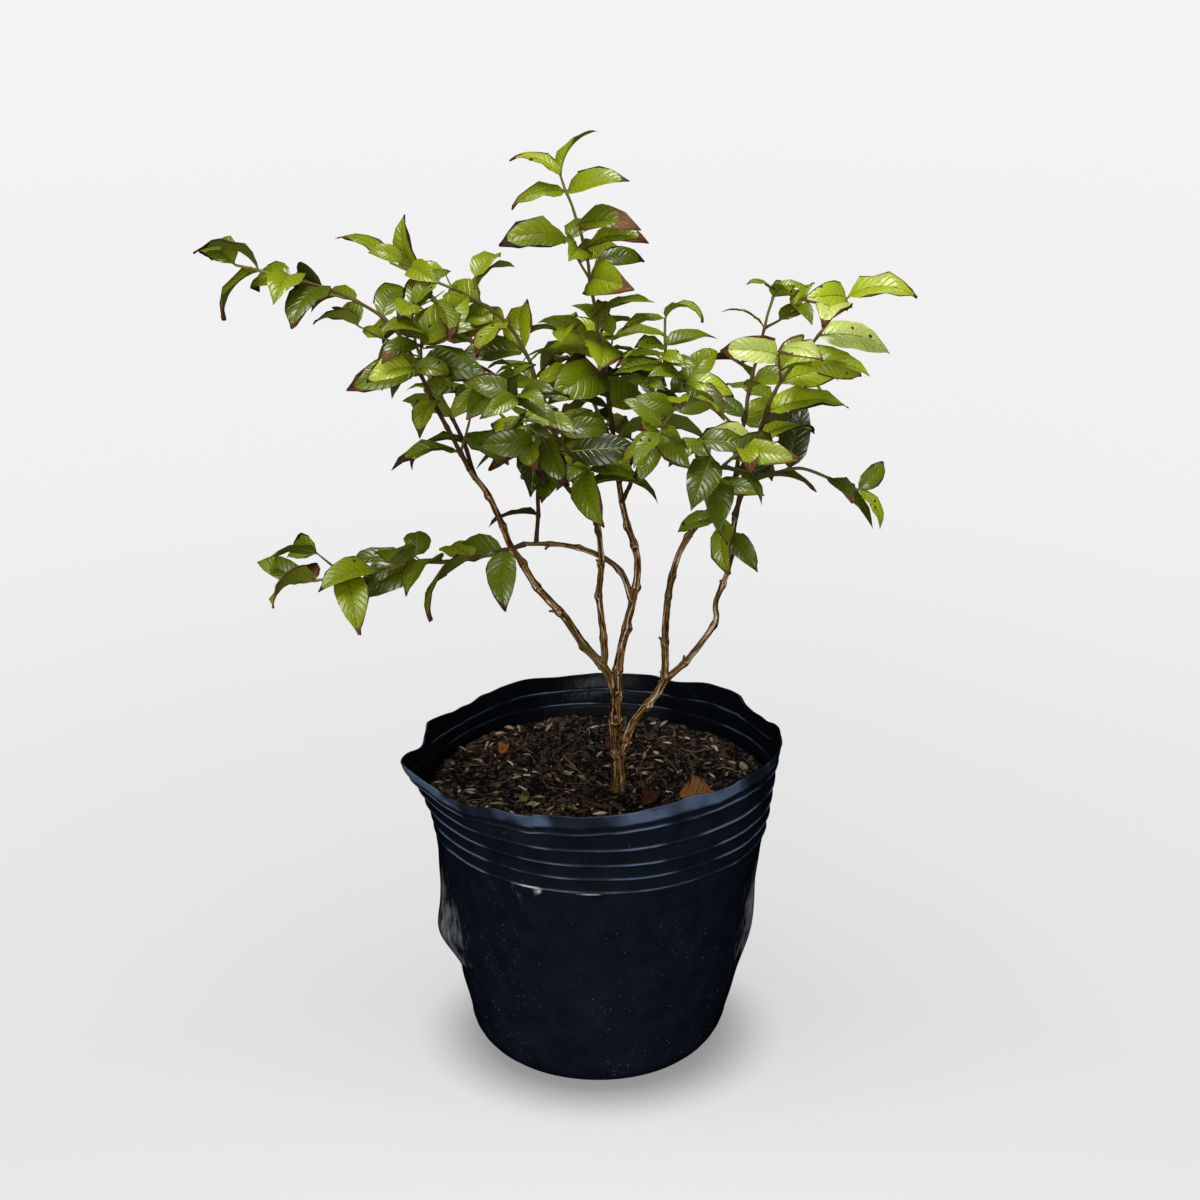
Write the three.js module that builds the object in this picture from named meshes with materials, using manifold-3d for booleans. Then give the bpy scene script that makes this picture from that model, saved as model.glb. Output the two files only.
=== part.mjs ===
// A young jabuticaba shrub with several stems, in a soft black nursery pot filled with potting mix.
// Millimetres, +Z up. The origin is the centre of the pot's flat underside, X runs across and Y runs back.
import * as THREE from "three";
import { OBB } from "three/addons/math/OBB.js";
import { mergeVertices } from "three/addons/utils/BufferGeometryUtils.js";
import Module from "manifold-3d";

const wasm = await Module();
wasm.setup();

// Clearance between neighbouring pieces, and the distance under which two corners are one
const GAP = 0.3;
const WELD = 1e-4;

// Pot: a tapered bucket with moulded rings under its lip
const POT = {
  height: 266,
  rimRadius: 147,
  footRadius: 102,
  footRound: 15,
  wall: 1.2,
  sides: 36,
  roundSteps: 3,
  wallSteps: 5,
  lipSteps: 2,
  rings: 5,
  firstRing: 15,
  ringPitch: 12.6,
  ringProud: 1.3,
  ringStep: 1.8,
};

// Where the soft lip stands up, sags or is pushed out: place and width in degrees, the rest in millimetres
const LIP_SWELLS = [
  { at: -45, wide: 26, rise: 9, out: -7 },
  { at: -88, wide: 22, rise: 5, out: 0 },
  { at: 209, wide: 16, rise: -8, out: 0 },
  { at: 189, wide: 8, rise: -1, out: 10 },
  { at: 143, wide: 22, rise: -6, out: -2 },
  { at: 10, wide: 12, rise: 2, out: 3 },
];
const LIP_FADE = 62;

// Soft bulges in the wall at either side
const WALL_BULGES = [
  { at: 183, wide: 19, height: 100, tall: 26, out: 9 },
  { at: -3, wide: 17, height: 104, tall: 26, out: 4 },
];

// Potting mix: level, with a gentle roll outside the flat patch round the trunk
const SOIL = { level: 228, flatRadius: 48, roll: 3, rings: 3, skirtSteps: 5 };

// Limbs: knots from foot to tip, with the radius at either end
const LIMB_SIDES = 7;
const SPAN_STEPS = 3;
const FLARE = { reach: 16, extra: 2.6 };
const LIMBS = [
  {
    name: "trunk",
    radius: [4.9, 4.3],
    knots: [[15, -8, SOIL.level + GAP], [15, -8, 255], [12.5, -8, 287], [14, -8, 318]],
  },
  {
    name: "bough_left",
    radius: [3.7, 2.0],
    knots: [
      [14, -8, 311], [0, -12, 343], [-30, -18, 386], [-67, -28, 443], [-77, -32, 474], [-101, -38, 518],
    ],
  },
  {
    name: "bough_leader",
    radius: [3.9, 2.1],
    knots: [[14, -8, 311], [15, -3, 341], [25, 2, 386], [30, 2, 428], [19, 2, 465], [14, 2, 502]],
  },
  {
    name: "bough_middle",
    radius: [3.0, 2.0],
    knots: [[2, -11.5, 338], [3, -14, 377], [-2, -14, 407], [2, -16, 436], [-2, -18, 463], [-15, -20, 487]],
  },
  {
    name: "bough_low_left",
    radius: [2.5, 1.7],
    knots: [[26, 2, 391], [16, 11, 413], [-5, 17, 427], [-30, 21, 432], [-60, 26, 431]],
  },
  {
    name: "bough_right",
    radius: [3.6, 1.9],
    knots: [
      [15, -8, 250], [27, -12, 291], [51, -14, 328], [52, -14, 379], [62, -14, 438], [90, -14, 481],
      [111, -14, 510],
    ],
  },
  {
    name: "bough_right_outer",
    radius: [2.7, 1.8],
    knots: [[49, -14, 325], [73, -2, 346], [93, 8, 369], [93, 12, 388], [105, 17, 420], [107, 20, 458]],
  },
];

// Leaf: places along the blade, with half the width there in shares of the leaf's width, and half the
// thickness in shares of its length
const LEAF = {
  stations: [[0, 0.018, 0.006], [0.3, 0.49, 0.011], [0.66, 0.37, 0.009], [1, 0, 0]],
  slimness: 0.43,
};

// The rule that every mass grows by
const RULE = {
  stemSides: 3,
  stemRadius: [1.9, 1.0],
  twigSides: 3,
  twigRadius: [1.1, 0.75],
  twigAngle: 48,
  twigLift: 0.2,
  twigBare: 0.45,
  twigStep: 0.8,
  branchShare: 0.85,
  youngShare: 0.2,
  tipAngle: 40,
  faceTip: 0.35,
  climb: 0.5,
  tries: 4,
  missing: 0.1,
  lowest: 300,
};

// Masses of leaves. Each stem leaves its bough a few millimetres before the tip and runs through the knots.
// bare: stem with no leaves; step: between pairs; leaf, twig: lengths; angle: leaf to stem, in degrees;
// spread: the way that the first pair points; turn: from pair to pair, in degrees; look: the way that the
// leaves face; droop: share of gravity; twigs: chance of a side twig at a leaf; reach: how far the mass
// may stand from its stem.
const MASSES = [
  {
    name: "crown_left", bough: "bough_left", before: 0, seed: 34012,
    knots: [[-121, -42, 560], [-156, -44, 634], [-206, -40, 664], [-276, -36, 682]],
    bare: 16, step: 25, leaf: 64, angle: 60, spread: [1, 0.4, 0.1], turn: 32, look: [-0.3, -0.5, 0.8],
    droop: 0.2, twigs: 0.16, twig: 38, reach: 95,
  },
  {
    name: "crown_left_back", bough: "bough_left", before: 9, seed: 16023,
    knots: [[-112, 0, 540], [-140, 55, 572], [-152, 110, 584]],
    bare: 34, step: 27, leaf: 60, angle: 60, spread: [1, 0, 0], turn: 70, look: [-0.3, 0.3, 0.9],
    droop: 0.25, twigs: 0.12, twig: 36, reach: 90,
  },
  {
    name: "crown_upper_left", bough: "bough_middle", before: 0, seed: 2037,
    knots: [[-41, -12, 553], [-57, -10, 602], [-85, -10, 640], [-160, -10, 676]],
    bare: 44, step: 25, leaf: 62, angle: 58, spread: [1, 0, 0.6], turn: 24, look: [-0.2, -0.7, 0.7],
    droop: 0.12, twigs: 0.14, twig: 36, reach: 90,
  },
  {
    name: "crown_mid_left", bough: "bough_middle", before: 14, seed: 2041,
    knots: [[-42, -36, 521], [-66, -50, 556], [-90, -62, 590]],
    bare: 28, step: 23, leaf: 62, angle: 62, spread: [1, 0.3, -0.4], turn: 60, look: [-0.3, -0.7, 0.6],
    droop: 0.25, twigs: 0.14, twig: 36, reach: 90,
  },
  {
    name: "crown_front_left", bough: "bough_middle", before: 25, seed: 11053,
    knots: [[-14, -52, 522], [-34, -90, 566], [-60, -116, 604]],
    bare: 46, step: 26, leaf: 60, angle: 60, spread: [1, 0.3, 0.2], turn: 75, look: [0, -0.6, 0.8],
    droop: 0.25, twigs: 0.2, twig: 36, reach: 90,
  },
  {
    name: "crown_leader", bough: "bough_leader", before: 0, seed: 29067,
    knots: [[9, 6, 543], [-1, 10, 606], [-11, 12, 678], [-30, 12, 738]],
    bare: 26, step: 25, leaf: 64, angle: 62, spread: [1, 0.25, 0], turn: 20, look: [0, -0.5, 0.9],
    droop: 0.1, twigs: 0.14, twig: 34, reach: 85,
  },
  {
    name: "crown_riser", bough: "bough_leader", before: 9, seed: 26071,
    knots: [[36, -8, 535], [48, -14, 583], [50, -18, 634]],
    bare: 36, step: 24, leaf: 58, angle: 58, spread: [1, 0.4, 0], turn: 50, look: [0.2, -0.6, 0.8],
    droop: 0.18, twigs: 0.16, twig: 36, reach: 85,
  },
  {
    name: "crown_back", bough: "bough_leader", before: 17, seed: 23083,
    knots: [[8, 45, 512], [-14, 105, 545], [-30, 160, 562]],
    bare: 40, step: 28, leaf: 60, angle: 60, spread: [1, 0, 0], turn: 70, look: [0, 0.4, 0.9],
    droop: 0.25, twigs: 0.12, twig: 38, reach: 95,
  },
  {
    name: "crown_front_right", bough: "bough_leader", before: 26, seed: 97,
    knots: [[30, -46, 522], [44, -92, 566], [58, -124, 602]],
    bare: 44, step: 26, leaf: 60, angle: 60, spread: [1, 0.3, 0.2], turn: 75, look: [0.2, -0.6, 0.8],
    droop: 0.25, twigs: 0.2, twig: 38, reach: 95,
  },
  {
    name: "crown_right", bough: "bough_right", before: 0, seed: 28101,
    knots: [[125, -14, 542], [139, -14, 580], [166, -14, 616], [188, -14, 648]],
    bare: 26, step: 25, leaf: 72, angle: 58, spread: [0.8, 0.2, -0.6], turn: 8, look: [0, -0.9, 0.5],
    droop: 0.1, twigs: 0.05, twig: 34, reach: 95,
  },
  {
    name: "crown_right_riser", bough: "bough_right", before: 8, seed: 109,
    knots: [[113, 4, 545], [122, 16, 589], [135, 24, 640]],
    bare: 46, step: 27, leaf: 54, angle: 55, spread: [1, 0.3, 0], turn: 60, look: [0.2, -0.5, 0.8],
    droop: 0.15, twigs: 0.1, twig: 32, reach: 80,
  },
  {
    name: "crown_right_inner", bough: "bough_right", before: 26, seed: 18113,
    knots: [[86, -36, 506], [94, -70, 532], [106, -102, 556]],
    bare: 24, step: 24, leaf: 62, angle: 60, spread: [1, 0.2, 0.2], turn: 70, look: [0.2, -0.7, 0.7],
    droop: 0.25, twigs: 0.14, twig: 34, reach: 85,
  },
  {
    name: "crown_right_back", bough: "bough_right_outer", before: 9, seed: 16127,
    knots: [[118, 60, 486], [140, 110, 520], [152, 158, 535]],
    bare: 34, step: 29, leaf: 60, angle: 60, spread: [1, 0, 0], turn: 70, look: [0.3, 0.3, 0.9],
    droop: 0.25, twigs: 0.06, twig: 36, reach: 90,
  },
  {
    name: "crown_right_low", bough: "bough_right_outer", before: 0, seed: 17132,
    knots: [[120, 20, 485], [154, 16, 499], [182, 11, 493], [204, 8, 484]],
    bare: 30, step: 30, leaf: 58, angle: 50, spread: [0.2, 0.3, 1], turn: 25, look: [0.2, -0.7, 0.7],
    droop: 0.0, twigs: 0.1, twig: 30, reach: 75,
  },
  {
    name: "crown_right_front", bough: "bough_right_outer", before: 18, seed: 23139,
    knots: [[100, -14, 456], [92, -44, 480], [90, -66, 498]],
    bare: 34, step: 24, leaf: 58, angle: 62, spread: [1, 0, 0.2], turn: 70, look: [0.3, -0.8, 0.5],
    droop: 0.5, twigs: 0.05, twig: 34, reach: 90,
  },
  {
    name: "crown_low_left", bough: "bough_low_left", before: 0, seed: 22150,
    knots: [[-104, 26, 418], [-140, 18, 419], [-196, 6, 414], [-237, 0, 408]],
    bare: 18, step: 25, leaf: 64, angle: 58, spread: [0.3, 0.5, 0.8], turn: 40, look: [-0.3, -0.6, 0.7],
    droop: 0.15, twigs: 0.25, twig: 34, reach: 90,
  },
  {
    name: "crown_low_back", bough: "bough_low_left", before: 9, seed: 16157,
    knots: [[-50, 68, 458], [-52, 118, 498], [-56, 160, 520]],
    bare: 30, step: 27, leaf: 60, angle: 60, spread: [1, 0, 0], turn: 70, look: [-0.2, 0.4, 0.9],
    droop: 0.25, twigs: 0.12, twig: 36, reach: 90,
  },
];

// Colours and surface of each kind of piece
const FINISHES = {
  pot: { color: 0x10151c, roughness: 0.45, metalness: 0 },
  soil: { color: 0x2a2019, roughness: 0.95, metalness: 0 },
  bark: { color: 0x6b5232, roughness: 0.6, metalness: 0 },
  leaf: { color: 0x55702c, roughness: 0.45, metalness: 0 },
};

// A repeatable run of numbers between 0 and 1
class Dice {
  constructor(seed) {
    this.state = seed;
  }

  roll() {
    this.state = (this.state * 48271) % 2147483647;
    return this.state / 2147483647;
  }

  between(low, high) {
    return low + (high - low) * this.roll();
  }

  // The start of another run
  seed() {
    return 1 + Math.floor(this.between(1, 100000));
  }
}

const radians = THREE.MathUtils.degToRad;

// Height of a bell-shaped swelling at a distance from its middle
function bell(distance, width) {
  return Math.exp(-0.5 * (distance / width) ** 2);
}

// Shortest turn from one bearing to another, in degrees
function turnBetween(from, to) {
  return THREE.MathUtils.euclideanModulo(to - from + 180, 360) - 180;
}

// Solids and meshes

// A closed solid from a geometry, without the empty triangles at its poles and points
function toSolid(geometry) {
  const bare = new THREE.BufferGeometry();
  bare.setAttribute("position", geometry.attributes.position);
  bare.setIndex(geometry.index);
  const welded = mergeVertices(bare, WELD);
  const corners = welded.index.array;
  const triangles = [];
  for (let i = 0; i < corners.length; i += 3) {
    const [a, b, c] = corners.slice(i, i + 3);
    if (a !== b && b !== c && c !== a) {
      triangles.push(a, b, c);
    }
  }
  const vertProperties = Float32Array.from(welded.attributes.position.array);
  const triVerts = Uint32Array.from(triangles);
  return new wasm.Manifold(new wasm.Mesh({ numProp: 3, vertProperties, triVerts }));
}

// The largest closed skin of a solid: loose scraps are dropped and sealed hollows filled
function mainBody(solid) {
  const bodies = solid.decompose();
  bodies.sort((a, b) => b.volume() - a.volume());
  return bodies[0];
}

function meshOf(name, solid, finish) {
  const { vertProperties, triVerts } = solid.getMesh();
  const geometry = new THREE.BufferGeometry();
  geometry.setAttribute("position", new THREE.BufferAttribute(vertProperties, 3));
  geometry.setIndex(new THREE.BufferAttribute(triVerts, 1));
  geometry.computeVertexNormals();
  const mesh = new THREE.Mesh(geometry, new THREE.MeshStandardMaterial(finish));
  mesh.name = name;
  return mesh;
}

// A closed skin over rings that have the same number of points
function loft(rings) {
  const count = rings[0].length;
  const last = (rings.length - 1) * count;
  const index = [];
  for (let ring = 0; ring < last; ring += count) {
    for (let j = 0; j < count; j += 1) {
      const next = (j + 1) % count;
      index.push(ring + j, ring + next, ring + count + next);
      index.push(ring + j, ring + count + next, ring + count + j);
    }
  }
  for (let j = 1; j < count - 1; j += 1) {
    index.push(0, j + 1, j);
    index.push(last, last + j, last + j + 1);
  }
  const geometry = new THREE.BufferGeometry().setFromPoints(rings.flat());
  geometry.setIndex(index);
  return geometry;
}

// Paths

// A smooth line through knots
function smoothPath(knots) {
  const curve = new THREE.CatmullRomCurve3(knots, false, "catmullrom", 0.5);
  return curve.getPoints((knots.length - 1) * SPAN_STEPS);
}

// Distance from the start of a path to each of its points
function milesOf(path) {
  const miles = [0];
  for (let i = 1; i < path.length; i += 1) {
    miles.push(miles[i - 1] + path[i].distanceTo(path[i - 1]));
  }
  return miles;
}

// The place and heading at a distance along a path
function alongPath(path, miles, distance) {
  let i = 1;
  while (i < path.length - 1 && miles[i] < distance) {
    i += 1;
  }
  const share = (distance - miles[i - 1]) / (miles[i] - miles[i - 1]);
  const point = path[i - 1].clone().lerp(path[i], share);
  const heading = path[i].clone().sub(path[i - 1]).normalize();
  return { point, heading };
}

// A unit vector square to an axis, as near as possible to the wanted one
function squareTo(axis, wanted) {
  const square = wanted.clone().addScaledVector(axis, -wanted.dot(axis));
  return square.normalize();
}

// One of two square unit vectors, swung towards the other by an angle
function swung(from, towards, angle) {
  return from.clone().multiplyScalar(Math.cos(angle)).addScaledVector(towards, Math.sin(angle));
}

// A tapering tube along a path, with both ends carried on by the same extra as its radius
function tube(path, radii, sides, extra = 0) {
  const end = path.length - 1;
  const rings = [];
  let across = new THREE.Vector3(0.31, 0.9, 0.28);
  path.forEach((point, i) => {
    const heading = path[Math.min(i + 1, end)].clone().sub(path[Math.max(i - 1, 0)]).normalize();
    across = squareTo(heading, across);
    const over = heading.clone().cross(across);
    const carry = i === 0 ? -extra : Number(i === end) * extra;
    const centre = point.clone().addScaledVector(heading, carry);
    const ring = [];
    for (let j = 0; j < sides; j += 1) {
      const angle = (2 * Math.PI * j) / sides;
      ring.push(centre.clone().addScaledVector(swung(across, over, angle), radii[i] + extra));
    }
    rings.push(ring);
  });
  return toSolid(loft(rings));
}

// Boxes that tell whether two pieces may touch

function touches(box, boxes) {
  return boxes.some((other) => other.intersectsOBB(box));
}

// The box round some points of a leaf, square to the line from the leaf's root to its tip
function boxRound(points, leaf) {
  const along = points.at(-1).clone().sub(leaf.root).normalize();
  const across = squareTo(along, leaf.side);
  const over = along.clone().cross(across);
  const centre = new THREE.Vector3();
  const half = [along, across, over].map((axis) => {
    const reaches = points.map((point) => point.dot(axis));
    const low = Math.min(...reaches);
    const high = Math.max(...reaches);
    centre.addScaledVector(axis, (low + high) / 2);
    return (high - low) / 2 + GAP;
  });
  const turn = new THREE.Matrix3().setFromMatrix4(new THREE.Matrix4().makeBasis(along, across, over));
  return new OBB(centre, new THREE.Vector3(...half), turn);
}

// A box for each stretch of a tapering path
function boxesAlong(path, radii) {
  const boxes = [];
  for (let i = 1; i < path.length; i += 1) {
    const along = path[i].clone().sub(path[i - 1]).normalize();
    const across = squareTo(along, new THREE.Vector3(0.31, 0.9, 0.28));
    const over = along.clone().cross(across);
    const middle = path[i].clone().add(path[i - 1]).multiplyScalar(0.5);
    const thick = radii[i - 1] + GAP;
    const half = new THREE.Vector3(path[i].distanceTo(path[i - 1]) / 2 + GAP, thick, thick);
    const turn = new THREE.Matrix3().setFromMatrix4(new THREE.Matrix4().makeBasis(along, across, over));
    boxes.push(new OBB(middle, half, turn));
  }
  return boxes;
}

// Pot and potting mix

// Radius of the plain outer wall at a height
function wallRadius(height) {
  return THREE.MathUtils.lerp(POT.footRadius, POT.rimRadius, height / POT.height);
}

// A point of the pot or its filling, moved by the swells of the lip and the bulges of the wall
function pushedPoint(radius, height, bearing) {
  const pushFade = THREE.MathUtils.smoothstep(height, POT.height - LIP_FADE, POT.height);
  const riseFade = THREE.MathUtils.smoothstep(height, SOIL.level, POT.height);
  const share = (radius / wallRadius(height)) ** 2;
  const degrees = THREE.MathUtils.radToDeg(bearing);
  let out = 0;
  let rise = 0;
  for (const swell of LIP_SWELLS) {
    const strength = bell(turnBetween(degrees, swell.at), swell.wide);
    out += pushFade * strength * swell.out;
    rise += riseFade * strength * swell.rise;
  }
  for (const bulge of WALL_BULGES) {
    const round = bell(turnBetween(degrees, bulge.at), bulge.wide);
    out += bulge.out * round * bell(height - bulge.height, bulge.tall);
  }
  const moved = radius + out * share;
  return new THREE.Vector3(moved * Math.cos(bearing), moved * Math.sin(bearing), height + rise);
}

// A profile turned about the Z axis, with each point then placed by its radius, height and bearing.
// A profile that runs from the top down gives faces that look inwards, so those are turned over.
function turned(profile, place) {
  const geometry = new THREE.LatheGeometry(profile, POT.sides);
  const position = geometry.attributes.position;
  for (let i = 0; i < position.count; i += 1) {
    const radius = Math.hypot(position.getX(i), position.getZ(i));
    const bearing = Math.atan2(-position.getZ(i), position.getX(i));
    const { x, y, z } = place(radius, position.getY(i), bearing);
    position.setXYZ(i, x, y, z);
  }
  if (profile[0].y > profile.at(-1).y) {
    geometry.index.array.reverse();
  }
  return toSolid(geometry);
}

// Points of the rounded edge between floor and wall, for a skin that lies inset from the outside
function footEdge(inset) {
  const round = POT.footRound - inset;
  const middle = wallRadius(POT.footRound) - POT.footRound;
  const points = [];
  for (let i = 0; i <= POT.roundSteps; i += 1) {
    const angle = (Math.PI / 2) * (i / POT.roundSteps - 1);
    const height = POT.footRound + round * Math.sin(angle);
    points.push(new THREE.Vector2(middle + round * Math.cos(angle), height));
  }
  return points;
}

// Points up a wall that lies inset from the outside, above one height and as far as another
function wallPoints(inset, bottom, top, steps) {
  const points = [];
  for (let i = 1; i <= steps; i += 1) {
    const height = THREE.MathUtils.lerp(bottom, top, i / steps);
    points.push(new THREE.Vector2(wallRadius(height) - inset, height));
  }
  return points;
}

function makePot() {
  const lowestRing = POT.height - POT.firstRing - (POT.rings - 1) * POT.ringPitch;
  const outside = [new THREE.Vector2(0, 0), ...footEdge(0)];
  outside.push(...wallPoints(0, POT.footRound, lowestRing - POT.ringPitch, POT.wallSteps));
  for (let ring = 0; ring < POT.rings; ring += 1) {
    const height = lowestRing + ring * POT.ringPitch;
    outside.push(new THREE.Vector2(wallRadius(height), height - POT.ringStep));
    outside.push(new THREE.Vector2(wallRadius(height) + POT.ringProud, height));
  }
  outside.push(new THREE.Vector2(POT.rimRadius, POT.height));
  const inside = [new THREE.Vector2(0, POT.wall), ...footEdge(POT.wall)];
  inside.push(...wallPoints(POT.wall, POT.footRound, SOIL.level, SOIL.skirtSteps));
  inside.push(...wallPoints(POT.wall, SOIL.level, POT.height, POT.lipSteps));
  const profile = [...outside, ...inside.reverse()];
  return turned(profile, pushedPoint);
}

// The mix fills the pot, and its skirt has the same facets as the pot's inner wall
function makeSoil() {
  const inset = POT.wall + GAP;
  const skirt = [new THREE.Vector2(0, inset), ...footEdge(inset)];
  skirt.push(...wallPoints(inset, POT.footRound, SOIL.level, SOIL.skirtSteps));
  const edge = wallRadius(SOIL.level) - inset;
  const surface = [];
  for (let ring = 1; ring <= SOIL.rings; ring += 1) {
    const radius = THREE.MathUtils.lerp(edge, SOIL.flatRadius, ring / SOIL.rings);
    surface.push(new THREE.Vector2(radius, SOIL.level));
  }
  surface.push(new THREE.Vector2(0, SOIL.level));
  const profile = [...skirt, ...surface].reverse();
  return turned(profile, (radius, height, bearing) => {
    const point = pushedPoint(radius, height, bearing);
    const share = THREE.MathUtils.clamp((radius - SOIL.flatRadius) / (edge - SOIL.flatRadius), 0, 1);
    const onTop = height === SOIL.level;
    point.z += Number(onTop) * SOIL.roll * Math.sin(Math.PI * share) * Math.sin(3 * bearing + 0.7);
    return point;
  });
}

// Limbs

function makeLimb(plan, earlier) {
  const path = smoothPath(plan.knots.map((knot) => new THREE.Vector3(...knot)));
  const miles = milesOf(path);
  const length = miles[miles.length - 1];
  const radii = miles.map((mile) => THREE.MathUtils.lerp(...plan.radius, mile / length));
  if (plan.name === "trunk") {
    miles.forEach((mile, i) => {
      radii[i] += FLARE.extra * Math.exp(-mile / FLARE.reach);
    });
  }
  let solid = tube(path, radii, LIMB_SIDES);
  for (const limb of earlier) {
    solid = solid.subtract(limb.grown);
  }
  return { path, miles, radii, solid: mainBody(solid), grown: tube(path, radii, LIMB_SIDES, GAP) };
}

// Masses of leaves

// The rings of a leaf blade: folded up along its midrib and curled down towards its tip
function leafRings(leaf) {
  return LEAF.stations.map(([share, halfWidth, halfThickness]) => {
    const bend = leaf.curl * share;
    const run = (leaf.length * Math.sin(bend)) / leaf.curl;
    const drop = (leaf.length * (1 - Math.cos(bend))) / leaf.curl;
    const middle = leaf.root.clone().addScaledVector(leaf.heading, run).addScaledVector(leaf.face, -drop);
    const up = swung(leaf.face, leaf.heading, bend);
    const half = halfWidth * leaf.width;
    const thick = halfThickness * leaf.length;
    const lift = half * Math.tan(leaf.fold);
    return [
      middle.clone().addScaledVector(leaf.side, half).addScaledVector(up, lift),
      middle.clone().addScaledVector(up, thick),
      middle.clone().addScaledVector(leaf.side, -half).addScaledVector(up, lift),
      middle.clone().addScaledVector(up, -thick),
    ];
  });
}

// One leaf of a pair. Its heading keeps only a share of the climb, so that leaves lie level and then droop,
// and its face looks the way of its mass and towards the tip of its shoot.
function makeLeaf(spot, outward, shoot, share, dice) {
  const angle = radians(shoot.angle + dice.between(-14, 14));
  const droop = shoot.droop * dice.between(0.4, 1.6);
  const length = shoot.leaf * dice.between(0.74, 1.06) * (1 - RULE.youngShare * share ** 3);
  const tilt = radians(dice.between(-36, 36));
  const curl = dice.between(0.25, 0.95);
  const fold = dice.between(0.12, 0.42);
  const width = length * LEAF.slimness * dice.between(0.88, 1.12);
  const heading = swung(spot.heading, outward, angle);
  heading.z = RULE.climb * heading.z - droop;
  heading.normalize();
  const face = squareTo(heading, shoot.look.clone().addScaledVector(spot.heading, RULE.faceTip));
  face.applyAxisAngle(heading, tilt);
  const side = face.clone().cross(heading);
  return { root: spot.point, heading, face, side, length, width, curl, fold };
}

// A twig's path: straight out at an angle to its shoot, lifting towards its tip
function twigPath(spot, outward, length) {
  const heading = swung(spot.heading, outward, radians(RULE.twigAngle));
  const middle = spot.point.clone().addScaledVector(heading, length / 2);
  heading.z += RULE.twigLift;
  return [spot.point, middle, middle.clone().addScaledVector(heading.normalize(), length / 2)];
}

function distanceToPath(point, path) {
  const segment = new THREE.Line3();
  const nearest = new THREE.Vector3();
  let least = Infinity;
  for (let i = 1; i < path.length; i += 1) {
    segment.set(path[i - 1], path[i]).closestPointToPoint(point, true, nearest);
    least = Math.min(least, nearest.distanceTo(point));
  }
  return least;
}

// A mass grows along its stem, keeping clear of the limbs, of every other mass and of its own leaves
class Mass {
  constructor(plan, bough) {
    this.plan = plan;
    this.bough = bough;
    const foot = alongPath(bough.path, bough.miles, bough.miles.at(-1) - plan.before).point;
    this.path = smoothPath([foot, ...plan.knots.map((knot) => new THREE.Vector3(...knot))]);
    this.miles = milesOf(this.path);
    this.radii = this.taper(this.miles, RULE.stemRadius);
    this.boxes = boxesAlong(this.path, this.radii);
    this.blades = [];
    this.wholes = [];
    this.solids = [tube(this.path, this.radii, RULE.stemSides)];
  }

  taper(miles, radius) {
    return miles.map((mile) => THREE.MathUtils.lerp(...radius, mile / miles.at(-1)));
  }

  grow(limbBoxes, neighbours) {
    this.strangers = [...limbBoxes, ...neighbours.flatMap((mass) => [...mass.boxes, ...mass.wholes])];
    const spread = new THREE.Vector3(...this.plan.spread);
    const look = new THREE.Vector3(...this.plan.look);
    const shoot = { ...this.plan, spread, look };
    this.leafOut(this.path, this.miles, shoot, new Dice(this.plan.seed), true);
  }

  // Leaf pairs from the end of the bare length to the tip, some with a side twig in place of a leaf
  leafOut(path, miles, shoot, dice, mayBranch) {
    const length = miles.at(-1);
    let pair = 0;
    let along = shoot.bare;
    while (along < length) {
      const spot = alongPath(path, miles, along);
      const turn = radians(shoot.turn * pair + dice.between(-14, 14));
      const outward = squareTo(spot.heading, shoot.spread).applyAxisAngle(spot.heading, turn);
      for (const hand of [1, -1]) {
        const away = outward.clone().multiplyScalar(hand);
        const branches = dice.roll() < shoot.twigs;
        const missing = dice.roll() < RULE.missing;
        const twigLength = shoot.twig * dice.between(0.7, 1.2);
        const seed = dice.seed();
        if (mayBranch && branches && along < RULE.branchShare * length) {
          this.addTwig(twigPath(spot, away, twigLength), shoot, seed);
        } else if (!missing) {
          this.addLeaf(spot, away, shoot, along / length, seed);
        }
      }
      along += shoot.step * dice.between(0.85, 1.15);
      pair += 1;
    }
    const tip = alongPath(path, miles, length);
    const outward = squareTo(tip.heading, shoot.spread);
    const last = { ...shoot, angle: RULE.tipAngle };
    for (const hand of [1, -1]) {
      this.addLeaf(tip, outward.clone().multiplyScalar(hand), last, 1, dice.seed());
    }
  }

  addTwig(path, shoot, seed) {
    const miles = milesOf(path);
    const radii = this.taper(miles, RULE.twigRadius);
    const boxes = boxesAlong(path, radii);
    if (boxes.some((box) => touches(box, this.strangers) || touches(box, this.blades))) {
      return;
    }
    this.boxes.push(...boxes);
    this.solids.push(tube(path, radii, RULE.twigSides));
    const spread = path[2].clone().sub(path[0]).cross(new THREE.Vector3(0, 0, 1));
    const twig = { ...shoot, bare: RULE.twigBare * miles.at(-1), step: RULE.twigStep * shoot.step, spread };
    this.leafOut(path, miles, twig, new Dice(seed), false);
  }

  // A leaf that would touch something is drawn again a few times, and then skipped
  addLeaf(spot, outward, shoot, share, seed) {
    const dice = new Dice(seed);
    for (let attempt = 0; attempt < RULE.tries; attempt += 1) {
      const leaf = makeLeaf(spot, outward, shoot, share, dice);
      const rings = leafRings(leaf);
      const whole = boxRound(rings.flat(), leaf);
      const blade = boxRound(rings.slice(1).flat(), leaf);
      const tip = rings.at(-1)[0];
      const strays = tip.z < RULE.lowest || distanceToPath(tip, this.path) > this.plan.reach;
      if (!strays && !touches(whole, this.strangers) && !touches(blade, [...this.boxes, ...this.blades])) {
        this.blades.push(blade);
        this.wholes.push(whole);
        this.solids.push(toSolid(loft(rings)));
        return;
      }
    }
  }

  fuse() {
    return mainBody(wasm.Manifold.union(this.solids).subtract(this.bough.grown));
  }
}

// The whole plant

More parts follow.
